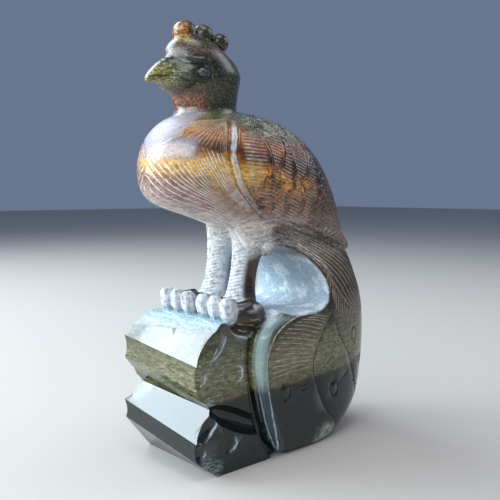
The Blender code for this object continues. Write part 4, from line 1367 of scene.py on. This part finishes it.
def finish_skin(skin):
    """Thin the skin to its triangle count, cut it flat at the bottom and set it in the CAD's box."""
    modifier = skin.modifiers.new("thin", "DECIMATE")
    modifier.ratio = TRIANGLES / (2 * len(skin.data.polygons))
    evaluated(skin)
    bm = bmesh.new()
    bm.from_mesh(skin.data)
    cut_through = bmesh.ops.bisect_plane(bm, geom=bm.verts[:] + bm.edges[:] + bm.faces[:], dist=0.01 * MM,
                                         plane_co=(0, 0, 0), plane_no=(0, 0, 1), clear_inner=True)
    loop = [item for item in cut_through["geom_cut"] if isinstance(item, bmesh.types.BMEdge)]
    bmesh.ops.contextual_create(bm, geom=loop)
    bmesh.ops.triangulate(bm, faces=bm.faces)
    bmesh.ops.recalc_face_normals(bm, faces=bm.faces)
    bm.to_mesh(skin.data)
    bm.free()
    co = coordinates(skin)
    low, high = co.min(0), co.max(0)
    for i in range(3):
        co[:, i] *= min(1.0, FIT * (CAD_HIGH[i] - CAD_LOW[i]) / (high[i] - low[i]))
    low, high = co.min(0), co.max(0)
    shift = np.array([(CAD_LOW[i] + CAD_HIGH[i]) / 2 - (low[i] + high[i]) / 2 for i in range(2)] + [0.0])
    co += shift
    skin.data.vertices.foreach_set("co", co.ravel())
    skin.data.update()
    for polygon in skin.data.polygons:
        polygon.use_smooth = True
    sharpen(skin)
    return shift


class Nodes:
    """Short calls that add nodes to a material and link them."""

    def __init__(self, name):
        self.material = bpy.data.materials.new(name)
        self.material.use_nodes = True
        self.tree = self.material.node_tree
        self.shader = self.tree.nodes["Principled BSDF"]

    def node(self, kind, inputs=None, **settings):
        made = self.tree.nodes.new(kind)
        for key, value in settings.items():
            setattr(made, key, value)
        for key, value in (inputs or {}).items():
            self.put(made.inputs[key], value)
        return made

    def put(self, socket, value):
        if isinstance(value, bpy.types.NodeSocket):
            self.tree.links.new(value, socket)
        elif isinstance(value, tuple) and len(value) == 3 and socket.type == "RGBA":
            socket.default_value = (*value, 1.0)
        else:
            socket.default_value = value

    def math(self, operation, a, b, clamp=False):
        return self.node("ShaderNodeMath", {0: a, 1: b}, operation=operation, use_clamp=clamp).outputs[0]

    def add(self, first, *others):
        for other in others:
            first = self.math("ADD", first, other)
        return first

    def times(self, first, *others):
        for other in others:
            first = self.math("MULTIPLY", first, other)
        return first

    def rest(self, value):
        """One less the value."""
        return self.math("SUBTRACT", 1.0, value)

    def most(self, first, *others):
        for other in others:
            first = self.math("MAXIMUM", first, other)
        return first

    def stretched(self, place, by):
        return self.node("ShaderNodeVectorMath", {0: place, 1: by}, operation="MULTIPLY").outputs[0]

    def noise(self, place, scale, detail=3.0, roughness=0.55, distortion=0.0):
        inputs = {"Vector": place, "Scale": scale, "Detail": detail, "Roughness": roughness,
                  "Distortion": distortion}
        return self.node("ShaderNodeTexNoise", inputs).outputs[0]

    def between(self, value, start, full):
        """0 before the start, 1 past full and smooth between, upwards or downwards."""
        inputs = {"Value": value, "From Min": start, "From Max": full}
        return self.node("ShaderNodeMapRange", inputs, interpolation_type="SMOOTHSTEP").outputs[0]

    def ramp(self, value, stops):
        made = self.node("ShaderNodeValToRGB", {"Fac": value})
        points = made.color_ramp.elements
        points[0].position, points[-1].position = stops[0][0], stops[-1][0]
        for place, _ in stops[1:-1]:
            points.new(place)
        for point, (_, colour) in zip(points, stops):
            point.color = (*colour, 1.0)
        return made.outputs[0]

    def mix(self, share, a, b, blend="MIX"):
        made = self.node("ShaderNodeMix", data_type="RGBA", blend_type=blend)
        for index, value in ((0, share), (6, a), (7, b)):
            self.put(made.inputs[index], value)
        return made.outputs[2]

    def mark(self, name):
        return self.node("ShaderNodeAttribute", attribute_name=name).outputs["Fac"]


# Colours of the stone's layers by height, in mm above the floor: for the base and train, the body
# and the head
# The olive layers from 32.5 to 47 mm are lighter than the stone's own olive: partly painted reflection of the
# window on the front of the upper bar.
BASE_LAYERS = ((0, (0.007, 0.012, 0.013)), (14, (0.009, 0.014, 0.015)), (28.5, (0.007, 0.010, 0.010)),
               (31.0, (0.014, 0.013, 0.008)), (32.5, (0.100, 0.093, 0.046)), (40, (0.170, 0.164, 0.092)),
               (47, (0.135, 0.130, 0.072)), (54, (0.074, 0.070, 0.038)), (60, (0.040, 0.032, 0.016)),
               (65, (0.026, 0.016, 0.011)), (76, (0.040, 0.022, 0.014)), (86, (0.060, 0.023, 0.016)),
               (100, (0.090, 0.036, 0.024)))
BODY_LAYERS = ((88, (0.600, 0.580, 0.550)), (97, (0.560, 0.500, 0.480)), (103, (0.360, 0.235, 0.230)),
               (108, (0.280, 0.145, 0.120)), (112, (0.360, 0.190, 0.080)), (116, (0.700, 0.380, 0.080)),
               (120, (0.760, 0.430, 0.090)), (123, (0.360, 0.135, 0.018)), (124.8, (0.110, 0.036, 0.012)),
               (127.0, (0.120, 0.040, 0.012)), (128.8, (0.300, 0.095, 0.014)), (133, (0.290, 0.110, 0.026)),
               (136.5, (0.150, 0.115, 0.050)), (141, (0.105, 0.105, 0.060)), (148, (0.080, 0.080, 0.044)))
HEAD_LAYERS = ((142, (0.032, 0.023, 0.012)), (149, (0.016, 0.017, 0.008)), (156, (0.030, 0.033, 0.012)),
               (161, (0.010, 0.014, 0.008)), (164, (0.014, 0.020, 0.014)), (166.5, (0.095, 0.055, 0.038)),
               (170, (0.070, 0.050, 0.026)), (174, (0.034, 0.034, 0.014)), (180, (0.060, 0.056, 0.020)))

# Zones of the stone: the name of a value, where the zone begins and where it is full, in mm, and
# where its edge is ragged the share of the warp in the value. A zone that is full before it begins
# lies below. The first is above the neck, the second below it
ON_HEAD = (("z", 142.5, 145.0),)
OFF_HEAD = (("z", 145.0, 142.5),)
ON_BODY = (("behind_belly", 86.0, 92.0),)
REAR = (("y", 2.0, 20.0, 1.4), ("z", 90.0, 100.0))
BACK = (("up_back", 134.0, 138.5, 0.9), ("y", -15.0, -6.0))
WING = (("y", -26.0, -18.0), ("z", 100.0, 106.0)) + OFF_HEAD
MIDDLE_WING = (("y", -12.0, -3.0, 0.6), ("z", 112.0, 119.0)) + OFF_HEAD
UPPER_WING = (("z", 108.0, 116.0),)
BEHIND_WING = (("y", 0.0, 14.0), ("z", 96.0, 104.0))
SHOULDERS = (("up_back", 124.0, 131.0, 0.9), ("y", -27.0, -21.0), ("z", 131.0, 136.0)) + OFF_HEAD
REAR_SHOULDERS = (("y", -4.0, 8.0),)
KNOBS = (("z", 169.0, 170.5),)
KNOB_TOP = (("z", 171.0, 173.5),)
BEAK = (("forwards", 41.0, 50.0), ("z", 150.0, 153.0), ("z", 163.0, 158.0))
BEAK_TIP = (("forwards", 46.5, 49.5),)
THROAT = (("forwards", 32.0, 39.0, 0.8), ("z", 141.0, 143.0), ("z", 153.0, 147.0))
UNDER_WING = (("y", -10.0, -3.0, 0.5), ("z", 83.0, 87.0), ("z", 101.0, 97.0))
BASE = (("z", 66.0, 60.0),)
UPPER_RIM = (("z", 27.0, 37.0, 0.8),)
WING_FOOT = (("x", 14.0, 16.0), ("y", -30.0, -24.0), ("z", 82.0, 90.0), ("z", 124.0, 120.0))
AT_FEET = (("z", 56.0, 60.0), ("y", -12.0, -20.0))
BEFORE_CLAWS = AT_FEET + (("forwards", 29.0, 34.0), ("z", 63.0, 61.0))
TRAIN = (("y", 14.0, 24.0),)
ABOVE_FROST = (("z", 120.0, 123.0),)
FEET = (("z", 57.0, 60.0), ("z", 74.0, 68.0), ("y", 4.0, -2.0))
REARWARDS = (("y", -6.0, 6.0), ("z", 60.0, 75.0))
GLOSSY_WING = (("z", 104.0, 114.0),)

# Streaks and mottling, as colours by a noise's value
BROWN_STREAKS = ((0.40, (0.022, 0.009, 0.005)), (0.48, (0.070, 0.032, 0.012)), (0.56, (0.140, 0.065, 0.022)),
                 (0.66, (0.300, 0.190, 0.090)))
GREEN_STREAKS = ((0.42, (0.005, 0.010, 0.008)), (0.5, (0.020, 0.028, 0.016)), (0.57, (0.060, 0.066, 0.034)),
                 (0.68, (0.190, 0.200, 0.140)))
BLOTCHES = ((0.42, (0.30, 0.26, 0.22)), (0.5, (1.0, 1.0, 1.0)), (0.58, (1.75, 1.6, 1.4)))
MOTTLE = ((0.41, (0.25, 0.25, 0.25)), (0.5, (0.85, 0.85, 0.85)), (0.59, (2.3, 2.3, 2.2)))
VEINS = ((0.40, (0.38, 0.36, 0.36)), (0.5, (1.0, 1.0, 1.0)), (0.61, (1.6, 1.5, 1.35)))
FIBRES = ((0.42, (0.60, 0.60, 0.60)), (0.5, (1.0, 1.0, 1.0)), (0.60, (1.7, 1.65, 1.5)))
# The frosting's hazy pale, also the colour of the painted light on the legs and the top of the wing's band.
HAZE_AND_PAINTED_LIGHT = ((0.0, (0.50, 0.60, 0.68)), (0.06, (0.72, 0.80, 0.86)), (0.14, (0.90, 0.93, 0.96)))
FOOT_STAINS = ((0.36, (0.46, 0.38, 0.34)), (0.46, (0.62, 0.64, 0.67)), (0.62, (0.82, 0.86, 0.88)))
BROKEN = ((0.38, (0.35, 0.35, 0.35)), (0.5, (0.95, 0.95, 0.95)), (0.6, (1.15, 1.15, 1.15)))

# Tints that multiply, and single colours
WING_TINT = (0.86, 0.60, 0.32)
MIDDLE_WING_TINT = (0.46, 0.31, 0.15)
WING_STAIN = (0.022, 0.010, 0.007)
WING_SHADE = (0.012, 0.007, 0.005)
FRONT_DUST = (0.46, 0.50, 0.42)
REAR_DUST = (0.26, 0.31, 0.25)
BROWN_DUST = (0.10, 0.075, 0.030)
UNDER_DUST = (0.026, 0.032, 0.020)
KNOB_BROWN = (0.150, 0.050, 0.008)
KNOB_ORANGE = (0.270, 0.110, 0.018)
KNOB_YELLOW = (0.24, 0.17, 0.035)
KNOB_DARK = (0.040, 0.028, 0.010)
HEAD_SPECKS = (0.120, 0.118, 0.062)
BEAK_OLIVE = (0.130, 0.138, 0.062)
BEAK_YELLOW = (0.24, 0.21, 0.055)
EYE_SOCKET = (0.014, 0.018, 0.013)
EYE_BALL = (0.062, 0.074, 0.058)
THROAT_RED = (0.200, 0.075, 0.032)
DAPPLE_DARK = (0.030, 0.016, 0.012)
DAPPLE_PALE = (0.200, 0.150, 0.120)
# The bib's colours, also used for the painted highlight on the patch above the breast lines.
BIB_AND_HIGHLIGHT_DARK = (0.23, 0.19, 0.22)
BIB_AND_HIGHLIGHT_PALE = (0.40, 0.36, 0.40)
RIM_BLUE = (0.022, 0.060, 0.090)
RIM_GREEN = (0.30, 0.42, 0.38)
RIM_PALE = (0.48, 0.64, 0.64)
TAIL_FOOT_DARK = (0.10, 0.13, 0.11)
TAIL_FOOT_PALE = (0.48, 0.52, 0.44)
CORNER_PALE = (0.26, 0.36, 0.33)
BAND_DARK = (0.10, 0.08, 0.06)
BAND_PALE = (0.62, 0.58, 0.52)
TOP_CYAN = (0.13, 0.30, 0.36)
TOP_PALE = (0.46, 0.60, 0.66)
CREAM = (0.50, 0.39, 0.26)
WHITE = (0.90, 0.87, 0.87)
WARM_CREAM = (0.50, 0.37, 0.24)
BLUISH = (0.58, 0.68, 0.72)
# Near black for the dark cuts: the stone's dark colour, deepened as painted shade in the narrow grooves.
CUT_BLACK = (0.006, 0.007, 0.006)

# How strongly the wing's zone shows
WING_SHARE = 0.8
# Where the front knob of the crest meets the next, in mm forwards
FRONT_KNOB = 26.8
# The height of the finest bumps, in metres, and how strongly the stone bends light
BUMP_HEIGHT = 0.0003
STONE_IOR = 1.58
# Pale places: the foot of the tail's side and two corners of the rock's end face, with their reach
TAIL_FOOT = ((18.0, 19.5, 4.5), 9.5)
CORNERS = (((21.0, -42.0, 3.0), 6.5), ((21.0, -42.5, 30.0), 3.0))


class Stone(Nodes):
    """The jasper's material with its places in mm, the noises that all of it shares and its zones.

    The shift is how far the finished piece was moved to its place in the box.
    """

    def __init__(self, shift):
        super().__init__("jasper_stone")
        metres = self.node("ShaderNodeTexCoord").outputs["Object"]
        self.place = self.stretched(metres, (1 / MM, 1 / MM, 1 / MM))
        x, y, z = self.node("ShaderNodeSeparateXYZ", {0: self.place}).outputs
        across = self.node("ShaderNodeCombineXYZ", {0: self.math("ABSOLUTE", x, 0.0), 1: y, 2: z})
        self.mirrored = across.outputs[0]
        broad = self.math("SUBTRACT", self.noise(self.place, 0.045, 3.0), 0.5)
        self.middle = self.math("SUBTRACT", self.noise(self.place, 0.16, 4.0, 0.6), 0.5)
        self.streak = self.noise(self.stretched(self.place, (1.0, 1.0, 3.5)), 0.22, 5.0, 0.65, 0.6)
        self.fibre = self.noise(self.stretched(self.place, (1.0, 1.0, 6.0)), 0.35, 4.0, 0.6, 0.3)
        self.grain = self.noise(self.place, 1.2, 4.0, 0.75)
        self.speck = self.noise(self.place, 2.4, 3.0, 0.8)
        self.mostly_speck = self.add(self.times(self.speck, 0.6), self.times(self.grain, 0.4))
        self.warp = self.add(self.times(broad, 7.0), self.times(self.middle, 5.5))
        self.values = {
            "x": self.math("ABSOLUTE", x, 0.0), "y": y, "z": z, "forwards": self.times(y, -1.0),
            "behind_belly": self.add(z, self.times(y, -0.22)), "up_back": self.add(z, self.times(y, 0.42)),
            "base": self.add(z, self.times(y, -0.05)),
            "body": self.add(z, self.times(self.add(self.times(x, 0.8), y), 0.13)),
        }
        self.eye = tuple(float(part + move / MM) for part, move in zip(EYE, shift))
        self.knob_front = float(FRONT_KNOB - shift[1] / MM)
        self.on_head = self.zone(ON_HEAD)
        self.wing = self.times(self.zone(WING), WING_SHARE)

    def warped(self, name, share):
        return self.add(self.values[name], self.times(self.warp, share))

    def zone(self, limits):
        """How far a place is inside all the limits, 0 to 1."""
        inside = [self.between(self.warped(name, warp[0]) if warp else self.values[name], start, full)
                  for name, start, full, *warp in limits]
        return self.times(*inside)

    def layers(self, height, table):
        """Colours by height from a table in mm."""
        low, high = table[0][0], table[-1][0]
        share = self.math("DIVIDE", self.math("SUBTRACT", height, low), high - low, clamp=True)
        return self.ramp(share, [((at - low) / (high - low), colour) for at, colour in table])

    def patch(self, place, middle, reach, ragged):
        """1 near a point, falling to 0 at a distance, both in mm, with a ragged edge."""
        measured = self.node("ShaderNodeVectorMath", {0: place, 1: middle}, operation="DISTANCE")
        away = self.add(measured.outputs["Value"], self.times(ragged, 0.9 * reach))
        return self.rest(self.between(away, 0.65 * reach, 1.1 * reach))


def body_colour(stone):
    """Layers of colour, brown streaks behind, a dark green back and shoulders with pale dust."""
    base = stone.layers(stone.warped("base", 0.4), BASE_LAYERS)
    body = stone.layers(stone.warped("body", 1.0), BODY_LAYERS)
    head = stone.layers(stone.warped("z", 1.3), HEAD_LAYERS)
    colour = stone.mix(stone.zone(ON_BODY), base, body)
    colour = stone.mix(stone.times(stone.zone(REAR), 0.85), colour, stone.ramp(stone.streak, BROWN_STREAKS))
    colour = stone.mix(stone.zone(BACK), colour, stone.ramp(stone.streak, GREEN_STREAKS))
    colour = stone.mix(stone.on_head, colour, head)
    wing = stone.wing
    colour = stone.mix(stone.times(wing, 0.95), colour, WING_TINT, "MULTIPLY")
    colour = stone.mix(stone.times(stone.zone(MIDDLE_WING), 0.85), colour, MIDDLE_WING_TINT, "MULTIPLY")
    streaked = stone.times(stone.math("SUBTRACT", stone.streak, 0.5), 1.2)
    stained = stone.between(stone.add(stone.middle, streaked), 0.0, 0.07)
    colour = stone.mix(stone.times(stained, wing), colour, WING_STAIN)
    colour = stone.mix(stone.times(stone.zone(BEHIND_WING), 0.5), colour, WING_SHADE)
    even = stone.add(stone.times(stone.speck, 0.5), stone.times(stone.grain, 0.5))
    dusted = stone.between(even, 0.47, 0.56)
    dust = stone.mix(stone.zone(REAR_SHOULDERS), FRONT_DUST, REAR_DUST)
    dust = stone.mix(stone.times(stone.between(stone.streak, 0.50, 0.56), 0.7), dust, BROWN_DUST)
    return stone.mix(stone.times(stone.zone(SHOULDERS), 0.8), colour, stone.mix(dusted, UNDER_DUST, dust))


def head_colour(stone, colour):
    """The front knob, pale specks round the face and the neck, the beak, the eyes and the throat."""
    split = stone.knob_front
    forwards = stone.values["forwards"]
    front_knob = stone.times(stone.zone(KNOBS), stone.between(forwards, split - 0.4, split + 0.4))
    knob = stone.mix(stone.between(stone.grain, 0.40, 0.54), KNOB_BROWN, KNOB_ORANGE)
    knob = stone.mix(stone.zone(KNOB_TOP), KNOB_YELLOW, knob)
    knob = stone.mix(stone.between(forwards, split + 3.6, split + 6.6), KNOB_DARK, knob)
    colour = stone.mix(stone.times(front_knob, 0.9), colour, knob)
    specked = stone.between(stone.mostly_speck, 0.50, 0.60)
    below_eye = stone.between(stone.add(stone.values["z"], stone.times(stone.middle, 8.0)), 165.0, 157.0)
    ragged = stone.times(stone.middle, 0.3)
    clear = stone.rest(stone.patch(stone.mirrored, stone.eye, 5.5, ragged))
    specks = stone.times(stone.on_head, below_eye, clear, specked, 0.5)
    colour = stone.mix(specks, colour, HEAD_SPECKS)
    beak = stone.mix(stone.zone(BEAK_TIP), BEAK_OLIVE, BEAK_YELLOW)
    colour = stone.mix(stone.times(stone.zone(BEAK), 0.8), colour, beak)
    socket = stone.patch(stone.mirrored, stone.eye, 4.6, ragged)
    colour = stone.mix(stone.times(socket, 0.8), colour, EYE_SOCKET)
    ball = stone.patch(stone.mirrored, stone.eye, 2.0, stone.times(stone.middle, 0.2))
    colour = stone.mix(stone.times(ball, 0.85), colour, EYE_BALL)
    return stone.mix(stone.times(stone.zone(THROAT), 0.85), colour, THROAT_RED)


def mottled(stone, colour):
    """Dapples under the wing, blotches on it, and grain, veins and fibres all over."""
    dapple = stone.mix(stone.between(stone.grain, 0.44, 0.56), DAPPLE_DARK, DAPPLE_PALE)
    colour = stone.mix(stone.times(stone.zone(UNDER_WING), 0.9), colour, dapple)
    blotches = stone.ramp(stone.noise(stone.place, 0.38, 3.0, 0.6, 0.5), BLOTCHES)
    colour = stone.mix(stone.times(stone.wing, 0.95), colour, blotches, "MULTIPLY")
    grainy = stone.add(0.3, stone.times(stone.on_head, 0.5))
    colour = stone.mix(grainy, colour, stone.ramp(stone.grain, MOTTLE), "MULTIPLY")
    colour = stone.mix(0.6, colour, stone.ramp(stone.streak, VEINS), "MULTIPLY")
    return stone.mix(stone.times(stone.zone(BASE), 0.7), colour, stone.ramp(stone.fibre, FIBRES), "MULTIPLY")


def marked(stone, colour):
    """The plain bib with the painted highlight on the patch above the breast lines, the rim of the train and
    the pale patches low down.
    """
    bib_and_highlight_colour = stone.mix(stone.between(stone.grain, 0.38, 0.6), BIB_AND_HIGHLIGHT_DARK, BIB_AND_HIGHLIGHT_PALE)
    colour = stone.mix(stone.times(stone.mark("bib"), 0.9), colour, bib_and_highlight_colour)
    rim_colour = stone.mix(stone.zone(UPPER_RIM), RIM_BLUE, stone.mix(stone.fibre, RIM_GREEN, RIM_PALE))
    colour = stone.mix(stone.times(stone.mark("rim"), 0.8), colour, rim_colour)
    fan = stone.noise(stone.stretched(stone.place, (0.3, 1.6, 0.5)), 0.7, 3.0)
    fan_colour = stone.mix(stone.between(fan, 0.35, 0.62), TAIL_FOOT_DARK, TAIL_FOOT_PALE)
    foot = stone.patch(stone.place, *TAIL_FOOT, stone.middle)
    colour = stone.mix(stone.times(foot, 0.9), colour, fan_colour)
    corner = stone.most(*[stone.patch(stone.place, *where, stone.middle) for where in CORNERS])
    corner = stone.times(corner, stone.between(stone.fibre, 0.44, 0.6), 0.7)
    return stone.mix(corner, colour, CORNER_PALE)


def frost_and_painted_light_colour(stone):
    """The pale frosting, which also paints light on the legs' lit side and the top of the wing's band: hazy,
    stained at the feet, cyan before the claws and grey along the wing.
    """
    pale = stone.mix(stone.zone(AT_FEET), stone.ramp(stone.middle, HAZE_AND_PAINTED_LIGHT),
                     stone.ramp(stone.noise(stone.place, 0.5, 3.0), FOOT_STAINS))
    band = stone.mix(stone.between(stone.grain, 0.43, 0.57), BAND_DARK, BAND_PALE)
    pale = stone.mix(stone.zone(WING_FOOT), pale, band)
    cyan = stone.mix(stone.between(stone.grain, 0.43, 0.57), TOP_CYAN, TOP_PALE)
    return stone.mix(stone.times(stone.zone(BEFORE_CLAWS), 0.8), pale, cyan)


def line_colour(stone, carved, warm):
    """The colour of the light lines: whiter where they are bold, warm on the wing, bluish on the rock."""
    cream = stone.mix(stone.between(carved, 0.5, 0.85), CREAM, WHITE)
    cream = stone.mix(stone.times(warm, 0.75), cream, WARM_CREAM)
    return stone.mix(stone.most(stone.mark("flat"), stone.mark("rim")), cream, BLUISH)


def polish(stone):
    """How rough the polished stone is: softer on the bib, the feet, the head and behind."""
    bib = stone.times(stone.between(stone.mark("bib"), 0.8, 1.0), 0.3)
    feet = stone.times(stone.zone(FEET), 0.3)
    head = stone.times(stone.on_head, stone.add(0.06, stone.times(stone.grain, 0.16)))
    rear = stone.times(stone.zone(REARWARDS), stone.rest(stone.times(stone.zone(GLOSSY_WING), 0.75)))
    rear = stone.times(rear, stone.add(0.1, stone.times(stone.grain, 0.25)))
    rough = stone.add(0.04, stone.times(stone.grain, 0.14), bib, feet, head, rear)
    return stone.times(rough, stone.rest(stone.times(stone.mark("flat"), 0.75)))


def jasper(shift):
    """Polished jasper: warped layers of colour, mottled and streaked, frosted where it is carved, with
    painted light on the legs, the wing's band and the patch above the breast lines, and painted shade in the
    dark cuts.
    """
    stone = Stone(shift)
    colour = marked(stone, mottled(stone, head_colour(stone, body_colour(stone))))
    carved = stone.mark("carved")
    light = stone.most(carved, 0.0)
    dark = stone.most(stone.times(carved, -1.0), 0.0)
    stipple = stone.between(stone.mostly_speck, 0.42, 0.55)
    from_hollow = stone.math("ABSOLUTE", stone.add(stone.values["y"], -19.0), 0.0)
    solid = stone.times(stone.between(from_hollow, 22.0, 26.0), 0.25)
    share = stone.add(0.5, solid, stone.times(stipple, stone.math("SUBTRACT", 0.5, solid)))
    # Frosted pale where carved, and painted light on the legs' lit side and the top of the wing's band.
    frost_and_painted_light = stone.times(stone.mark("frost_and_painted_light"), share)
    colour = stone.mix(frost_and_painted_light, colour, frost_and_painted_light_colour(stone))
    cream = line_colour(stone, carved, stone.most(stone.wing, stone.zone(TRAIN)))
    lines = stone.math("MULTIPLY", light, stone.ramp(stone.speck, BROKEN), clamp=True)
    lines = stone.times(lines, stone.rest(stone.times(stone.wing, stone.zone(UPPER_WING), 0.4)))
    colour = stone.mix(lines, colour, cream)
    # The dark cuts painted near black, partly painted shade in the grooves.
    colour = stone.mix(stone.times(dark, 0.85), colour, CUT_BLACK)
    frost_rough = stone.times(frost_and_painted_light, 0.85, stone.rest(stone.times(stone.zone(ABOVE_FROST), 0.9)))
    rough = stone.most(stone.times(light, 0.6), frost_rough, stone.times(dark, 0.45))
    rough = stone.math("ADD", rough, polish(stone), clamp=True)
    bump = stone.node("ShaderNodeBump", {"Height": stone.speck, "Distance": BUMP_HEIGHT})
    stone.put(bump.inputs["Strength"], stone.add(0.015, stone.times(rough, 0.5)))
    stone.put(stone.shader.inputs["Base Color"], colour)
    stone.put(stone.shader.inputs["Roughness"], rough)
    stone.put(stone.shader.inputs["Normal"], bump.outputs[0])
    stone.shader.inputs["IOR"].default_value = STONE_IOR
    return stone.material


# Camera, fitted to the view: its place, its turn from the front, the distance to the
# picture plane and the drop of the middle of the view, in pixels of a square picture
CAMERA_PLACE = (212.5 * MM, -169.8 * MM, 111.0 * MM)
CAMERA_AZIMUTH = math.radians(51)
PICTURE = 500
FOCAL_LENGTH = 620
VIEW_DROP = 56
SENSOR = 36.0


def camera(shift):
    """The camera, moved along with the finished piece."""
    data = bpy.data.cameras.new("camera")
    data.sensor_width = SENSOR
    data.lens = SENSOR * FOCAL_LENGTH / PICTURE
    made = bpy.data.objects.new("camera", data)
    bpy.context.scene.collection.objects.link(made)
    made.location = [place + move for place, move in zip(CAMERA_PLACE, shift)]
    made.rotation_euler = (math.pi / 2 - math.atan(VIEW_DROP / FOCAL_LENGTH), 0, CAMERA_AZIMUTH)
    bpy.context.scene.camera = made


# Soft boxes: name, bearing from the front and height in degrees, distance and size in metres,
# brightness and colour
LAMPS = (
    ("window_left", -70, 42, 1.0, (0.75, 0.46), 7.5, (0.74, 0.90, 1.0)),
    ("window_front", -2, 31, 1.0, (1.5, 0.48), 5.6, (0.84, 0.94, 1.0)),
    ("window_bright", -41, 20, 0.95, (0.44, 0.5), 8.6, (0.74, 0.91, 1.0)),
    ("window_right", 160, 37, 0.9, (0.5, 0.5), 2.4, (1.0, 1.0, 1.0)),
    ("top", 60, 78, 0.9, (0.5, 0.5), 3.0, (1.0, 1.0, 1.0)),
)
LAMPS_MIDDLE = (0, 0, 0.09)
FLOOR_SIZE = 4.0
FLOOR_COLOUR = (0.52, 0.475, 0.43, 1.0)
FLOOR_ROUGHNESS = 0.7
WORLD_COLOUR = (0.50, 0.65, 1.0, 1.0)
WORLD_STRENGTH = 0.28


def lamp(name, bearing, rise, distance, size, brightness, colour):
    """A soft box seen from the middle of the carving at a bearing from the front and a height."""
    turn, up = math.radians(bearing), math.radians(rise)
    way = Vector((math.sin(turn) * math.cos(up), -math.cos(turn) * math.cos(up), math.sin(up)))
    data = bpy.data.lights.new(name, "AREA")
    data.shape = "RECTANGLE"
    data.size, data.size_y = size
    data.energy = brightness * math.pi * size[0] * size[1]
    data.color = colour
    made = bpy.data.objects.new(name, data)
    bpy.context.scene.collection.objects.link(made)
    made.location = Vector(LAMPS_MIDDLE) + distance * way
    made.rotation_euler = (-way).to_track_quat("-Z", "Y").to_euler()


def floor():
    """A large matt floor under the piece."""
    bm = bmesh.new()
    bmesh.ops.create_grid(bm, x_segments=1, y_segments=1, size=FLOOR_SIZE)
    made = mesh_object("floor", bm)
    material = bpy.data.materials.new("floor")
    material.use_nodes = True
    shader = material.node_tree.nodes["Principled BSDF"]
    shader.inputs["Base Color"].default_value = FLOOR_COLOUR
    shader.inputs["Roughness"].default_value = FLOOR_ROUGHNESS
    made.data.materials.append(material)


def world():
    """A dim bluish surrounding."""
    made = bpy.data.worlds.new("world")
    made.use_nodes = True
    background = made.node_tree.nodes["Background"]
    background.inputs["Color"].default_value = WORLD_COLOUR
    background.inputs["Strength"].default_value = WORLD_STRENGTH
    bpy.context.scene.world = made


def main():
    """Build the carving, then the camera, the lamps, the floor and the surrounding."""
    skin, inside, claws = fine_skin()
    carve(skin, inside, claws)
    shift = finish_skin(skin)
    skin.data.materials.append(jasper(shift))
    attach(skin, "root")
    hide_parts("peacock_carving")
    camera(shift)
    for settings in LAMPS:
        lamp(*settings)
    floor()
    world()
    bpy.context.scene.view_settings.view_transform = "Standard"


main()
